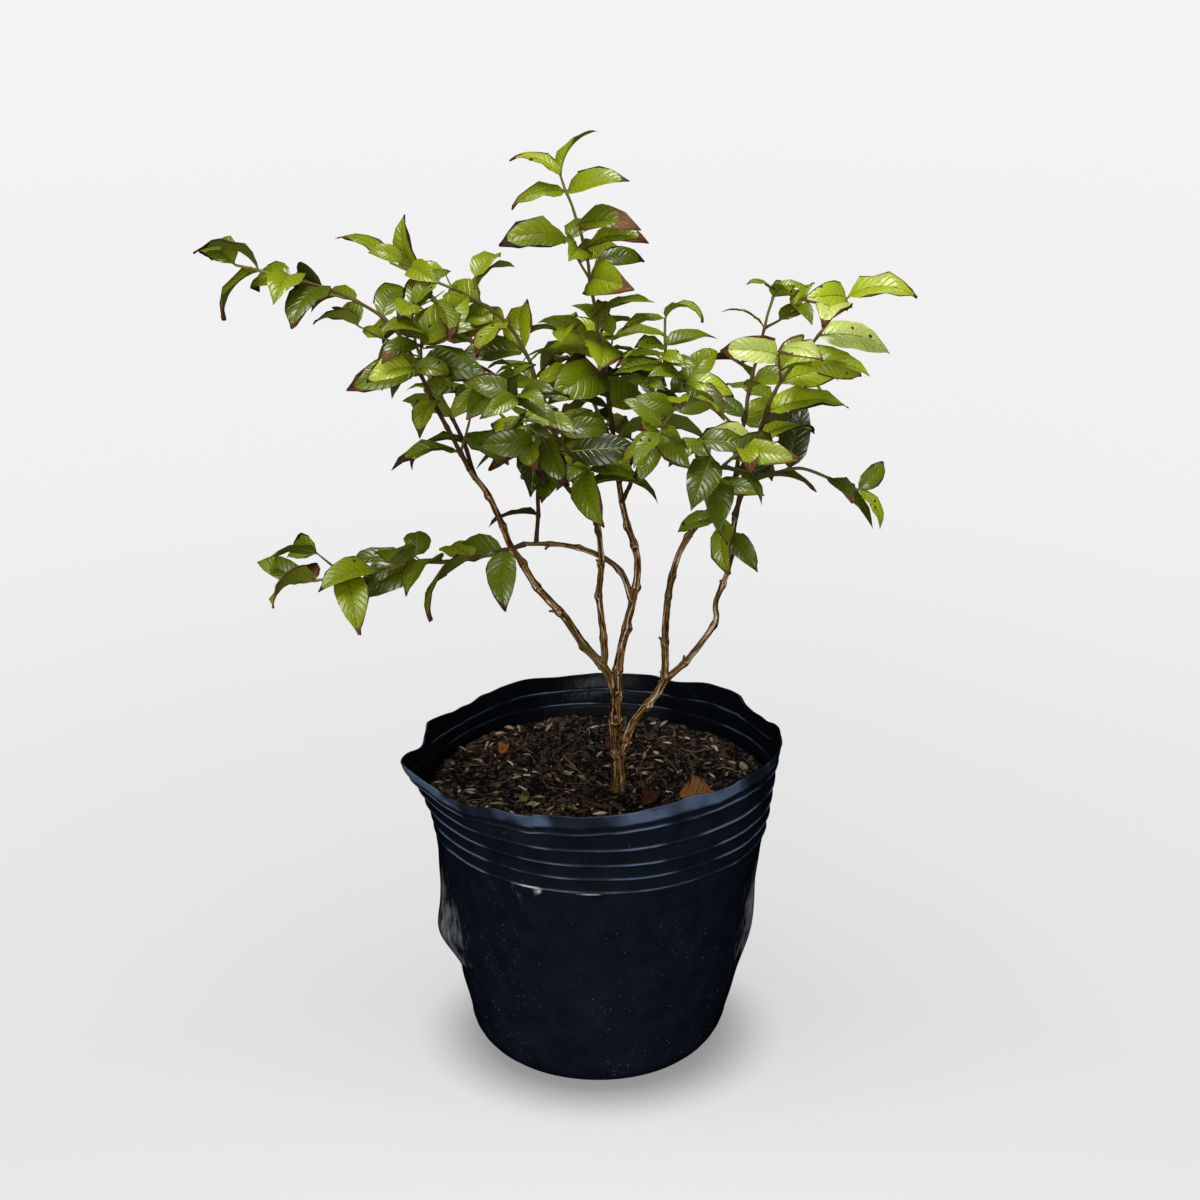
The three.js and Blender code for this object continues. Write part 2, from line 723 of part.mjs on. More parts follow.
const plant = new THREE.Group();
plant.add(meshOf("pot", makePot(), FINISHES.pot));
plant.add(meshOf("soil", makeSoil(), FINISHES.soil));

const limbs = new Map();
for (const plan of LIMBS) {
  const limb = makeLimb(plan, [...limbs.values()]);
  limbs.set(plan.name, limb);
  plant.add(meshOf(plan.name, limb.solid, FINISHES.bark));
}
const limbBoxes = [...limbs.values()].flatMap((limb) => boxesAlong(limb.path, limb.radii));

const masses = MASSES.map((plan) => new Mass(plan, limbs.get(plan.bough)));
for (const mass of masses) {
  mass.grow(limbBoxes, masses.filter((other) => other !== mass));
  plant.add(meshOf(mass.plan.name, mass.fuse(), FINISHES.leaf));
}

export default plant;
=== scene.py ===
"""A young jabuticaba shrub in a soft black nursery pot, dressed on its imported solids.

Plans and shapes are in millimetres, +Z up, with the origin under the middle of the pot.
Every mesh is turned to metres when it is made.
"""

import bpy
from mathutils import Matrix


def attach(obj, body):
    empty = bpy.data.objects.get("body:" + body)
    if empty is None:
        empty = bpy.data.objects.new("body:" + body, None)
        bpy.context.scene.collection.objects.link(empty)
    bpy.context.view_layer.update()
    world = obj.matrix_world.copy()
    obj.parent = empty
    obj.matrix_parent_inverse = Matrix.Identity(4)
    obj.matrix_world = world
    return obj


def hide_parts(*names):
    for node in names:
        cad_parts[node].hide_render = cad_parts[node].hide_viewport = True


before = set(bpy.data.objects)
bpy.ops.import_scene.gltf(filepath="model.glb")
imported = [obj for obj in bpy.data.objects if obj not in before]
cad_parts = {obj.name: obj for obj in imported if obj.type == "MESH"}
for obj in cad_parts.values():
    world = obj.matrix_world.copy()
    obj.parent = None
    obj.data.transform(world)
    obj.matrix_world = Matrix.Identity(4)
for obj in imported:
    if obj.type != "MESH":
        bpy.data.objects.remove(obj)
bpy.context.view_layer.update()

import logging
import math
from dataclasses import dataclass, field, replace
from enum import Enum
from typing import Iterable, Sequence

import bpy
import numpy as np
from numpy.random import Generator, default_rng

Array = np.ndarray
Vec = tuple[float, float, float]
Colour = tuple[float, float, float]
Span = tuple[float, float]
Table = tuple[tuple[float, ...], ...]
Pair = tuple[Array, Array]
Socket = bpy.types.NodeSocket
Material = bpy.types.Material
LOG = logging.getLogger("potted_jabuticaba")

# A millimetre in metres, the room that the solids leave each other, the body that carries all, a full turn
# in radians and the way up
MM = 0.001
GAP = 0.3
BODY = "root"
TURN = 2 * math.pi
UP = np.array([0.0, 0.0, 1.0])


class Slot(Enum):
    """Material slots of the record."""

    POT = "pot"
    SOIL = "soil"
    BARK = "bark"
    LEAF = "leaf"


class Dice:
    """A repeatable run of numbers between 0 and 1, the same as the one that the solids grow by."""

    FACTOR = 48271
    MODULUS = 2147483647

    def __init__(self, seed: int) -> None:
        """Start a run from a whole number."""
        self.state = seed

    def roll(self) -> float:
        """Return the next number of the run."""
        self.state = self.state * self.FACTOR % self.MODULUS
        return self.state / self.MODULUS

    def between(self, low: float, high: float) -> float:
        """Return the next number, spread over a range."""
        return low + (high - low) * self.roll()

    def seed(self) -> int:
        """Return the start of another run."""
        return 1 + math.floor(self.between(1, 100000))


def unit(vectors: Array) -> Array:
    """Return vectors made one long."""
    return vectors / np.linalg.norm(vectors, axis=-1, keepdims=True)


def square_to(axis: Array, wanted: Array) -> Array:
    """Return the unit vectors square to an axis that lie nearest to the wanted ones."""
    return unit(wanted - np.sum(wanted * axis, -1, keepdims=True) * axis)


def turned(vector: Array, axis: Array, angle: float) -> Array:
    """Turn a vector about a unit axis, by the axis-angle formula.

    Args:
        vector: The vector.
        axis: The unit axis.
        angle: How far, in radians.

    Returns:
        The turned vector.
    """
    along = axis * np.dot(axis, vector)
    across = np.cross(axis, vector) * math.sin(angle)
    return vector * math.cos(angle) + across + along * (1 - math.cos(angle))


def swung(start: Array, towards: Array, angle: float) -> Array:
    """Return one of two square unit vectors, swung towards the other."""
    return start * math.cos(angle) + towards * math.sin(angle)


def turned_pair(first: Array, second: Array, angle: Array) -> Pair:
    """Return two square vectors, both turned by an angle from the first towards the second."""
    return first * np.cos(angle) + second * np.sin(angle), second * np.cos(angle) - first * np.sin(angle)


def bearings(count: int) -> Array:
    """Return directions spaced evenly round a full turn, in radians."""
    return np.arange(count) * (TURN / count)


def bell(distance: Array, width: Array | float) -> Array:
    """Return the height of a bell-shaped swelling of that width, 1 at its middle."""
    return np.exp(-0.5 * (distance / width) ** 2)


def smooth(value: Array, low: float, high: float) -> Array:
    """Return 0 below low, 1 above high, and an easy step between them."""
    share = np.clip((value - low) / (high - low), 0, 1)
    return share * share * (3 - 2 * share)


def turn_between(start: Array, end: float) -> Array:
    """Return the shortest turn from one bearing to another, in degrees."""
    return (end - start + 180) % 360 - 180


def curve_through(knots: Array, steps: int) -> Array:
    """Return points on the smooth line through knots, a number of steps to each span.

    The line is a cubic between two knots whose slope at a knot is half the way from the knot before
    to the knot after. Beyond each end the line goes on as it came.

    Args:
        knots: The points to pass, first to last.
        steps: How many steps each span is cut into.

    Returns:
        The points, ends included.
    """
    ends = np.vstack([2 * knots[0] - knots[1], knots, 2 * knots[-1] - knots[-2]])
    count = (len(knots) - 1) * steps
    place = np.arange(count + 1) / count * (len(knots) - 1)
    span = np.minimum(place.astype(int), len(knots) - 2)
    w = (place - span)[:, None]
    before, start, end, after = (ends[span + i] for i in range(4))
    slope_in = 0.5 * (end - before)
    slope_out = 0.5 * (after - start)
    square = -3 * start + 3 * end - 2 * slope_in - slope_out
    cube = 2 * start - 2 * end + slope_in + slope_out
    return start + slope_in * w + square * w**2 + cube * w**3


def miles_of(path: Array) -> Array:
    """Return the distance from the start of a path to each of its points."""
    return np.concatenate([[0.0], np.cumsum(np.linalg.norm(np.diff(path, axis=0), axis=1))])


def taper(ends: Span, miles: Array) -> Array:
    """Return radii that run evenly from one to the other along a path."""
    return ends[0] + (ends[1] - ends[0]) * miles / miles[-1]


def along_path(path: Array, miles: Array, distance: float) -> Pair:
    """Find where a distance along a path is.

    Args:
        path: The points.
        miles: The distance to each.
        distance: How far along.

    Returns:
        The place, and the heading there.
    """
    i = int(np.clip(np.searchsorted(miles, distance), 1, len(path) - 1))
    share = (distance - miles[i - 1]) / (miles[i] - miles[i - 1])
    return path[i - 1] + share * (path[i] - path[i - 1]), unit(path[i] - path[i - 1])


def places_along(path: Array, distances: Array) -> Array:
    """Return the places at distances along a path."""
    return np.stack([np.interp(distances, miles_of(path), part) for part in path.T], -1)


def resampled(path: Array, count: int) -> Array:
    """Return a path cut afresh into even steps."""
    return places_along(path, np.linspace(0, miles_of(path)[-1], count))


def rolling(places: Array, seed: int, scale: float, octaves: int = 4) -> Array:
    """Return an even, rolling noise of about -1 to 1 over places.

    It is a sum of plane waves that run in seeded directions. Each octave has half the wavelength of the
    one before, and 0.6 of its height.

    Args:
        places: Points, in millimetres, on the last axis.
        seed: Which noise.
        scale: The longest wavelength.
        octaves: How many times the wavelength is halved.

    Returns:
        One height for each point.
    """
    rng = default_rng(seed)
    total = np.zeros(places.shape[:-1])
    for octave in range(octaves):
        waves = unit(rng.normal(size=(5, places.shape[-1]))) * (TURN / scale * 2**octave)
        phases = rng.uniform(0, TURN, 5)
        total += 0.6**octave * np.sin(places @ waves.T + phases).sum(-1) / 3.2
    return total


def touches(box: Array, boxes: Array) -> bool:
    """Tell whether a turned box meets any of several.

    Two boxes are apart if they don't meet when both are laid on one of fifteen lines: the three axes of
    each, and the nine lines square to an axis of one and an axis of the other. A box is its middle, its
    three axes and its half sizes, as five rows.

    Args:
        box: One box, of shape (5, 3).
        boxes: The others, of shape (n, 5, 3).

    Returns:
        True if at least one of them meets the box.
    """
    near = boxes[np.linalg.norm(boxes[:, 0] - box[0], axis=1)
                 <= np.linalg.norm(boxes[:, 4], axis=1) + np.linalg.norm(box[4])]
    if not len(near):
        return False
    turn = near[:, 1:4] @ box[1:4].T
    flat = np.abs(turn) + 2.2e-16
    mine, own = near[:, 4], box[4]
    away = np.einsum("nij,nj->ni", near[:, 1:4], box[0] - near[:, 0])
    apart = (np.abs(away) > mine + flat @ own).any(1)
    across = np.einsum("ni,nij->nj", away, turn)
    apart |= (np.abs(across) > np.einsum("ni,nij->nj", mine, flat) + own).any(1)
    for i in range(3):
        i1, i2 = (i + 1) % 3, (i + 2) % 3
        for j in range(3):
            j1, j2 = (j + 1) % 3, (j + 2) % 3
            room = mine[:, i1] * flat[:, i2, j] + mine[:, i2] * flat[:, i1, j]
            room += own[j1] * flat[:, i, j2] + own[j2] * flat[:, i, j1]
            apart |= np.abs(away[:, i2] * turn[:, i1, j] - away[:, i1] * turn[:, i2, j]) > room
    return not bool(apart.all())


def boxes_along(path: Array, radii: Array) -> Array:
    """Lay boxes round a tapering path.

    Args:
        path: The points.
        radii: The radius at each.

    Returns:
        A box for each stretch, as touches reads them.
    """
    along = unit(np.diff(path, axis=0))
    across = square_to(along, np.array([0.31, 0.9, 0.28]))
    over = np.cross(along, across)
    half = np.linalg.norm(np.diff(path, axis=0), axis=1) / 2
    thick = radii[:-1]
    middle = (path[1:] + path[:-1]) / 2
    return np.stack([middle, along, across, over, np.stack([half, thick, thick], -1) + GAP], 1)


@dataclass
class Surface:
    """Corners and faces of one or more joined shells, in millimetres.

    Attributes:
        corners: The places, of shape (n, 3).
        faces: For each kind of face, its corners' numbers, of shape (m, corners of a face).
        worn: Which skin each face wears, in the order of the faces.
        uv: Where each corner lies on its own shell, or None.
        fold: A number for each corner, or None. An edge between two corners of one number above 0 is sharp.
    """

    corners: Array
    faces: list[Array]
    worn: Array
    uv: Array | None = None
    fold: Array | None = None


def lofted(
    rings: Array, worn: Array | int = 0, uv: Array | None = None, fold: Array | None = None
) -> Surface:
    """Return closed shells over rings of points: quads between rings, and a flat face on both ends.

    Args:
        rings: Of shape (shells, rings, points, 3), with the points anticlockwise about the way ahead.
        worn: The skin of each quad, of shape (shells, rings - 1, points), or one skin for all. An end wears
            the skin of the first quad beside it.
        uv: Of shape (shells, rings, points, 2), or None.
        fold: Of shape (shells, rings, points), or None.

    Returns:
        The joined shells.
    """
    shells, rows, points = rings.shape[:3]
    number = np.arange(shells * rows * points).reshape(shells, rows, points)
    after = np.roll(number, -1, axis=2)
    quads = np.stack([number[:, :-1], after[:, :-1], after[:, 1:], number[:, 1:]], -1)
    ends = np.concatenate([number[:, 0, ::-1], number[:, -1]])
    skins = np.broadcast_to(worn, quads.shape[:3])
    end_skins = np.concatenate([skins[:, 0, 0], skins[:, -1, 0]])
    return Surface(
        rings.reshape(-1, 3),
        [quads.reshape(-1, 4), ends],
        np.concatenate([skins.ravel(), end_skins]),
        None if uv is None else uv.reshape(-1, 2),
        None if fold is None else fold.ravel(),
    )


def joined(parts: Sequence[Surface]) -> Surface:
    """Join several surfaces.

    Args:
        parts: The surfaces. All have UVs and folds, or none has.

    Returns:
        One surface.
    """
    faces, worn, start = [], [], 0
    for part in parts:
        faces += [face + start for face in part.faces]
        worn.append(part.worn)
        start += len(part.corners)
    uv = None if parts[0].uv is None else np.concatenate([p.uv for p in parts])
    fold = None if parts[0].fold is None else np.concatenate([p.fold for p in parts])
    return Surface(np.concatenate([p.corners for p in parts]), faces, np.concatenate(worn), uv, fold)


def tubes(paths: Array, radii: Array, sides: int, worn: Array | int = 0) -> Surface:
    """Return round tubes along paths: each ring is a circle square to the path there.

    Args:
        paths: Of shape (tubes, points, 3).
        radii: Of shape (tubes, points), or (tubes, points, sides) for a relief.
        sides: How many points a ring has.
        worn: As in lofted.

    Returns:
        The joined tubes, with UVs that give the share round and the distance along.
    """
    heading = unit(np.gradient(paths, axis=1))
    mean = np.abs(unit(paths[:, -1] - paths[:, 0]))
    start = np.eye(3)[np.argmin(mean, axis=1)][:, None]
    across = square_to(heading, np.broadcast_to(start, heading.shape))
    over = np.cross(heading, across)
    angle = bearings(sides)
    spoke = across[:, :, None] * np.cos(angle)[:, None] + over[:, :, None] * np.sin(angle)[:, None]
    reach = radii if radii.ndim == 3 else radii[:, :, None]
    step = np.linalg.norm(np.diff(paths, axis=1), axis=2)
    miles = np.concatenate([np.zeros((len(paths), 1)), np.cumsum(step, 1)], 1)
    uv = np.stack(np.broadcast_arrays(angle / TURN, miles[:, :, None] * 0.01), -1)
    return lofted(paths[:, :, None] + spoke * reach[..., None], worn, uv)


class Board:
    """The node board of one material, with short ways to lay and join its nodes."""

    def __init__(self, name: str) -> None:
        """Start a material with one plain shader.

        Args:
            name: The material's name.
        """
        self.material = bpy.data.materials.new(name)
        self.material.use_nodes = True
        self.tree = self.material.node_tree
        self.shader = self.tree.nodes["Principled BSDF"]

    def node(self, kind: str, inputs: dict | None = None, **settings: object) -> bpy.types.Node:
        """Lay a node.

        Args:
            kind: Its type, without the leading word.
            inputs: For each input's name or number, a value, or a socket to join it to.
            settings: Values of the node itself.

        Returns:
            The node.
        """
        laid = self.tree.nodes.new("ShaderNode" + kind)
        for key, value in settings.items():
            setattr(laid, key, value)
        for key, value in (inputs or {}).items():
            self.feed(laid.inputs[key], value)
        return laid

    def feed(self, socket: Socket, value: object) -> None:
        """Join a socket to another, or set its value.

        Args:
            socket: The socket.
            value: A socket, or a value, where a colour is three numbers.
        """
        if isinstance(value, Socket):
            self.tree.links.new(value, socket)
        else:
            socket.default_value = (*value, 1) if socket.type == "RGBA" else value

    def sums(self, how: str, *terms: object) -> Socket:
        """Return the outcome of a Math node on values or sockets."""
        return self.node("Math", dict(enumerate(terms)), operation=how).outputs[0]

    def mix(self, share: Socket, start: object, end: object) -> Socket:
        """Return what lies between two, each a colour or a socket."""
        return self.node("Mix", {"Factor": share, "A": start, "B": end}, data_type="RGBA").outputs["Result"]

    def noise(self, place: Socket, scale: float, detail: float) -> Socket:
        """Return a noise over a place, of about 0 to 1."""
        return self.node("TexNoise", {"Vector": place, "Scale": scale, "Detail": detail}).outputs["Fac"]

    def grain(self, scale: float, detail: float = 4.0) -> Socket:
        """Return a noise over the object's own coordinates."""
        return self.noise(self.place(), scale, detail)

    def ramp(self, share: Socket, *stops: tuple[float, Colour]) -> Socket:
        """Lay a colour that runs through stops.

        Args:
            share: Where along them it is.
            stops: The place and the colour of each.

        Returns:
            The colour.
        """
        laid = self.node("ValToRGB", {"Fac": share})
        band = laid.color_ramp.elements
        while len(band) < len(stops):
            band.new(1.0)
        for element, (place, colour) in zip(band, stops):
            element.position = place
            element.color = (*colour, 1)
        return laid.outputs["Color"]

    def span(self, value: Socket, start: Span, end: Span, how: str = "LINEAR") -> Socket:
        """Return a value carried from one range, held at its ends, to another."""
        ends = {"From Min": start[0], "From Max": start[1], "To Min": end[0], "To Max": end[1]}
        return self.node("MapRange", {"Value": value, **ends}, interpolation_type=how).outputs["Result"]

    def place(self, stretch: Vec = (1, 1, 1)) -> Socket:
        """Return the object's own coordinates, stretched along each axis."""
        own = self.node("TexCoord").outputs["Object"]
        return self.node("Mapping", {"Vector": own, "Scale": stretch}).outputs["Vector"]

    def height(self) -> Socket:
        """Return the height above the floor, in metres."""
        return self.node("SeparateXYZ", {"Vector": self.place()}).outputs["Z"]

    def own(self) -> tuple[Socket, Socket]:
        """Return both parts of the piece's own map."""
        parts = self.node("SeparateXYZ", {"Vector": self.node("UVMap", uv_map="own").outputs["UV"]}).outputs
        return parts["X"], parts["Y"]

    def bump(self, height: Socket, depth: float, strength: float) -> None:
        """Raise the surface by a height of 0 to 1, as deep as a depth in metres."""
        laid = self.node("Bump", {"Height": height, "Distance": depth, "Strength": strength})
        self.feed(self.shader.inputs["Normal"], laid.outputs["Normal"])

    def wear(self, **inputs: object) -> Material:
        """Feed the shader's own sockets.

        Args:
            inputs: Values or sockets, by the names of the shader's with _ for a space.

        Returns:
            The material.
        """
        for key, value in inputs.items():
            self.feed(self.shader.inputs[key.replace("_", " ")], value)
        return self.material


@dataclass(frozen=True)
class LeafSkin:
    """One side of a leaf in one plain colour, with side veins that run out and forward from the midrib.

    Attributes:
        name: The material's name.
        colour: The plain colour.
        roughness: The range of its shine.
        veins: How many side veins a side has.
        depth: How deep they lie, in metres.
        gloss: How much light it throws back.
    """

    name: str
    colour: Colour
    roughness: Span = (0.22, 0.4)
    veins: float = 10.0
    depth: float = 0.0005
    gloss: float = 0.9

    def make(self) -> Material:
        """Make the material.

        A vein's height is a rounded wave of the place along the leaf, less a share of the place across it,
        so that veins lean forward; a fine grain lies over it.

        Returns:
            The material.
        """
        board = Board(self.name)
        across, along = board.own()
        lean = board.sums("MULTIPLY", board.sums("ABSOLUTE", across), 0.2)
        wave = board.sums("MULTIPLY", board.sums("SUBTRACT", along, lean), self.veins)
        vein = board.span(board.sums("PINGPONG", wave, 0.5), (0.0, 0.16), (0.0, 1.0))
        board.bump(board.sums("MULTIPLY_ADD", board.grain(700.0, 2.0), 0.4, vein), self.depth, 0.7)
        shine = board.span(board.grain(90.0), (0.3, 0.7), self.roughness)
        return board.wear(Base_Color=self.colour, Roughness=shine, Specular_IOR_Level=self.gloss)


@dataclass(frozen=True)
class PlainSkin:
    """A small thing of one plain colour with a fine grain, such as a twig, a husk or a fibre.

    Attributes:
        name: The material's name.
        colour: The plain colour.
        roughness: Its shine.
        grain: How fine the grain is.
        depth: How deep the grain is, in metres.
    """

    name: str
    colour: Colour
    roughness: float = 0.6
    grain: float = 900.0
    depth: float = 0.0003

    def make(self) -> Material:
        """Make the material: a noise raises the surface.

        Returns:
            The material.
        """
        board = Board(self.name)
        board.bump(board.grain(self.grain, 3.0), self.depth, 0.6)
        return board.wear(Base_Color=self.colour, Roughness=self.roughness, Specular_IOR_Level=0.15)


@dataclass(frozen=True)
class BarkSkin:
    """Bark of stem and boughs: glossy brown with streaks along the limb and greenish patches; painted
    highlights and painted shade lie in the streaks.

    Attributes:
        name: The material's name.
        dark: Colour of the hollows, where the relief sinks, deepened as painted shade.
        brown: Colour of most of the bark.
        pale: Colour of the streaks, whose pale parts are partly a painted highlight.
        glint: Colour of their middles, a painted near-white highlight.
        moss: Colour of the greenish patches.
    """

    name: str = "bark"
    dark: Colour = (0.018, 0.007, 0.002)
    brown: Colour = (0.240, 0.104, 0.016)
    pale: Colour = (0.56, 0.34, 0.12)
    glint: Colour = (0.90, 0.84, 0.70)
    moss: Colour = (0.105, 0.078, 0.013)

    def make(self) -> Material:
        """Make the material.

        A noise over the way that the bark faces, with a little of the place, gives streaks along the limb,
        and a broad noise patches, which cover much of the damp foot too. The streaks' pale stops and
        near-white glints paint highlights, and their dark stop paints shade in the sunk hollows of the
        relief.

        Returns:
            The material.
        """
        board = Board(self.name)
        facing = board.node("TexCoord").outputs["Normal"]
        drawn = board.node("VectorMath", {0: facing, 1: (2.2, 2.2, 2.2), 2: board.place((60, 60, 60))},
                           operation="MULTIPLY_ADD").outputs["Vector"]
        streak = board.noise(drawn, 1.0, 3.0)
        # Painted light: the pale and glint stops paint highlights, the dark stop paints shade where the
        # relief sinks
        brown = board.ramp(streak, (0.42, self.dark), (0.49, self.brown), (0.55, self.brown),
                           (0.6, self.pale), (0.655, self.glint))
        damp = board.span(board.grain(260.0, 3.0), (0.36, 0.6), (0.2, 1.0))
        foot = board.sums("MULTIPLY", board.span(board.height(), (0.232, 0.268), (0.9, 0.0)), damp)
        patch = board.span(board.grain(45.0, 3.0), (0.5, 0.66), (0.0, 0.6))
        mixed = board.mix(board.sums("MAXIMUM", patch, foot), brown, self.moss)
        fine = board.noise(board.place((1800, 1800, 500)), 1.0, 5.0)
        board.bump(board.sums("ADD", streak, fine), 0.0009, 0.8)
        shine = board.span(streak, (0.35, 0.7), (0.2, 0.34))
        return board.wear(Base_Color=mixed, Roughness=shine, Specular_IOR_Level=0.5)


@dataclass(frozen=True)
class FilmSkin:
    """Soft black film of the pot: near black with a painted bluish sheen on the lip, on the ring lines and
    faintly over all the outside, whitish where it is scuffed.

    Attributes:
        name: The material's name.
        black: Colour of the clean film.
        painted_sheen: Colour of the painted sheen on lip and rings, and of a faint one over all the outside.
        scuff: Colour of scraped film and of dry dust on it outside, and of the painted highlight lines on
            the inner rings.
        scratch: Colour of deep scratches.
    """

    name: str = "pot_film"
    black: Colour = (0.0018, 0.0032, 0.0062)
    painted_sheen: Colour = (0.110, 0.160, 0.260)
    scuff: Colour = (0.34, 0.36, 0.37)
    scratch: Colour = (0.86, 0.90, 0.93)

    def make(self) -> Material:
        """Make the material.

        The film's own map tells how much painted sheen lies on it and how scuffed it is, both broken up by a
        noise; inside, its second part paints highlight lines on the rings instead. Fine specks of dust lie
        all over.

        Returns:
            The material.
        """
        board = Board(self.name)
        sheen_share, scuffs_and_inner_glints = board.own()
        cloud = board.span(board.grain(55.0, 6.0), (0.3, 0.65), (0.45, 1.0))
        # Painted sheen: the first part of the own map mixes in the bluish painted sheen of lip, ring lines
        # and outside
        film = board.mix(board.sums("MULTIPLY", sheen_share, cloud), self.black, self.painted_sheen)
        streak = board.noise(board.place((150, 150, 60)), 1.0, 4.0)
        # The second part is real scuffs outside and, inside, painted highlight lines of the rings, both in
        # the scuff colour
        scraped = board.span(board.sums("MULTIPLY_ADD", scuffs_and_inner_glints, 0.4, streak), (0.64, 1.1), (0.0, 0.9))
        scraped = board.sums("MULTIPLY", scraped, board.span(scuffs_and_inner_glints, (0.04, 0.3), (0.0, 1.0)))
        dusty = board.span(board.grain(18.0, 2.0), (0.45, 0.62), (-0.05, 0.03))
        high = board.span(board.height(), (0.15, 0.2), (0.0, -0.06))
        dust = board.sums("ADD", board.grain(420.0, 1.0), board.sums("ADD", dusty, high))
        worn = board.sums("MAXIMUM", scraped, board.span(dust, (0.725, 0.775), (0.0, 0.3)))
        deep = board.span(scuffs_and_inner_glints, (1.4, 2.3), (0.0, 1.0))
        dry = board.ramp(deep, (0.0, self.scuff), (1.0, self.scratch))
        ripple = board.noise(board.place((55, 55, 22)), 1.0, 3.0)
        board.bump(board.sums("MULTIPLY_ADD", ripple, 4.0, board.grain(260.0, 6.0)), 0.0007, 0.5)
        rough = board.span(board.grain(30.0, 6.0), (0.3, 0.75), (0.3, 0.52))
        return board.wear(Base_Color=board.mix(worn, film, dry), Roughness=rough, Specular_IOR_Level=0.16)


@dataclass(frozen=True)
class MixSkin:
    """Moist potting mix: near black, with brown and tan crumbs.

    Attributes:
        name: The material's name.
        black: Colour of moist crumbs.
        brown: Colour of bark crumbs.
        tan: Colour of dry flecks.
    """

    name: str = "potting_mix"
    black: Colour = (0.0060, 0.0048, 0.0042)
    brown: Colour = (0.080, 0.058, 0.044)
    tan: Colour = (0.29, 0.235, 0.170)

    def make(self) -> Material:
        """Make the material: crumbs from a cell pattern, flecks where a fine noise is high.

        Returns:
            The material.
        """
        board = Board(self.name)
        cells = board.node("TexVoronoi", {"Vector": board.place(), "Scale": 330.0}).outputs
        crumb = board.node("SeparateXYZ", {"Vector": cells["Color"]}).outputs["X"]
        brown = board.ramp(crumb, (0.0, self.black), (0.6, self.black),
                           (0.85, self.brown), (1.0, self.brown))
        fleck = board.span(board.grain(520.0, 3.0), (0.63, 0.69), (0.0, 0.8))
        board.bump(board.sums("SUBTRACT", board.grain(800.0, 6.0), cells["Distance"]), 0.0018, 0.9)
        mixed = board.mix(fleck, brown, self.tan)
        return board.wear(Base_Color=mixed, Roughness=0.82, Specular_IOR_Level=0.12)


@dataclass(frozen=True)
class FloorSkin:
    """Plain pale studio floor that glows, lit from within so that shadows on it stay pale, with a painted
    pool of light and a painted contact shadow.

    Attributes:
        name: The material's name.
        lit: The colour that the lamps light.
        near: Its glow in a painted pool of light before the plant.
        beside: Its glow beside the plant, dimmer as painted shade round it.
        middle: Its own light a little farther off.
        far: Its own light far off.
    """

    name: str = "studio_floor"
    lit: Colour = (0.10, 0.10, 0.10)
    near: Colour = (0.708, 0.708, 0.708)
    beside: Colour = (0.625, 0.625, 0.625)
    middle: Colour = (0.75, 0.75, 0.75)
    far: Colour = (0.79, 0.79, 0.792)

    def make(self) -> Material:
        """Make the material.

        It is matt, with a faint grain, and glows: brighter with the distance from the plant, so that painted
        shade lies round it, brighter in a painted pool of light before it, and dim close round the foot of
        the pot in a painted contact shadow.

        Returns:
            The material.
        """
        board = Board(self.name)
        board.bump(board.grain(40.0), 0.0002, 0.2)
        away = board.node("VectorMath", {0: board.place()}, operation="LENGTH").outputs["Value"]
        share = board.span(away, (0.1, 4.1), (0.0, 1.0))
        # Painted shade: the glow is dimmest beside the plant and brightens with distance
        plain = board.ramp(share, (0.0, self.beside), (0.3, self.middle), (1.0, self.far))
        before = board.node("VectorMath", {0: board.place(), 1: (0.0, -0.8, 0.0)}, operation="DISTANCE")
        # Painted pool of light before the plant
        painted_pool = board.span(before.outputs["Value"], (0.55, 0.86), (1.0, 0.0))
        # Painted contact shadow: the glow fades close round the foot of the pot
        painted_contact_shadow = board.span(away, (0.085, 0.16), (0.42, 1.0), "SMOOTHSTEP")
        return board.wear(Base_Color=self.lit, Emission_Color=board.mix(painted_pool, plain, self.near),
                          Emission_Strength=painted_contact_shadow, Roughness=0.9, Specular_IOR_Level=0.2)


def on_show(name: str, data: bpy.types.ID) -> bpy.types.Object:
    """Put a mesh, a lamp or a camera on show.

    Args:
        name: The object's name.
        data: What it shows.

    Returns:
        The object.
    """
    shown = bpy.data.objects.new(name, data)
    bpy.context.scene.collection.objects.link(shown)
    return shown


def make_piece(
    name: str,
    surface: Surface,
    skins: Sequence[Material],
    nodes: Iterable[str] = (),
    flat: bool = False,
) -> None:
    """Put a surface into a mesh in metres, dress it and let it ride on the plant.

    Args:
        name: The piece's name.
        surface: Its shells, in millimetres.
        skins: The materials that surface.worn counts in.
        nodes: The solids that it stands for.
        flat: True for a faceted look.
    """
    used, worn = np.unique(surface.worn, return_inverse=True)
    mesh = bpy.data.meshes.new(name)
    mesh.from_pydata(surface.corners * MM, [], [row for face in surface.faces for row in face.tolist()])
    for number in used:
        mesh.materials.append(skins[int(number)])
    mesh.polygons.foreach_set("material_index", worn.astype(np.int32).ravel())
    mesh.polygons.foreach_set("use_smooth", np.full(len(mesh.polygons), not flat))
    corners = np.empty(len(mesh.loops), np.int32)
    mesh.loops.foreach_get("vertex_index", corners)
    if surface.uv is not None:
        layer = mesh.uv_layers.new(name="own")
        layer.uv.foreach_set("vector", surface.uv[corners].astype(np.float32).ravel())
    if surface.fold is not None:
        ends = np.empty(len(mesh.edges) * 2, np.int32)
        mesh.edges.foreach_get("vertices", ends)
        ends = surface.fold[ends.reshape(-1, 2)]
        mesh.edges.foreach_set("use_edge_sharp", (ends[:, 0] == ends[:, 1]) & (ends[:, 0] > 0))
    mesh.update()
    piece = on_show(name, mesh)
    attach(piece, BODY)
    for node in nodes:
        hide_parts(node)
    LOG.info("%s: %d faces", name, len(mesh.polygons))


@dataclass(frozen=True)
class LimbPlan:
    """A stem or bough: its knots from foot to tip and its radius at either end."""

    name: str
    radius: Span
    knots: tuple[Vec, ...]


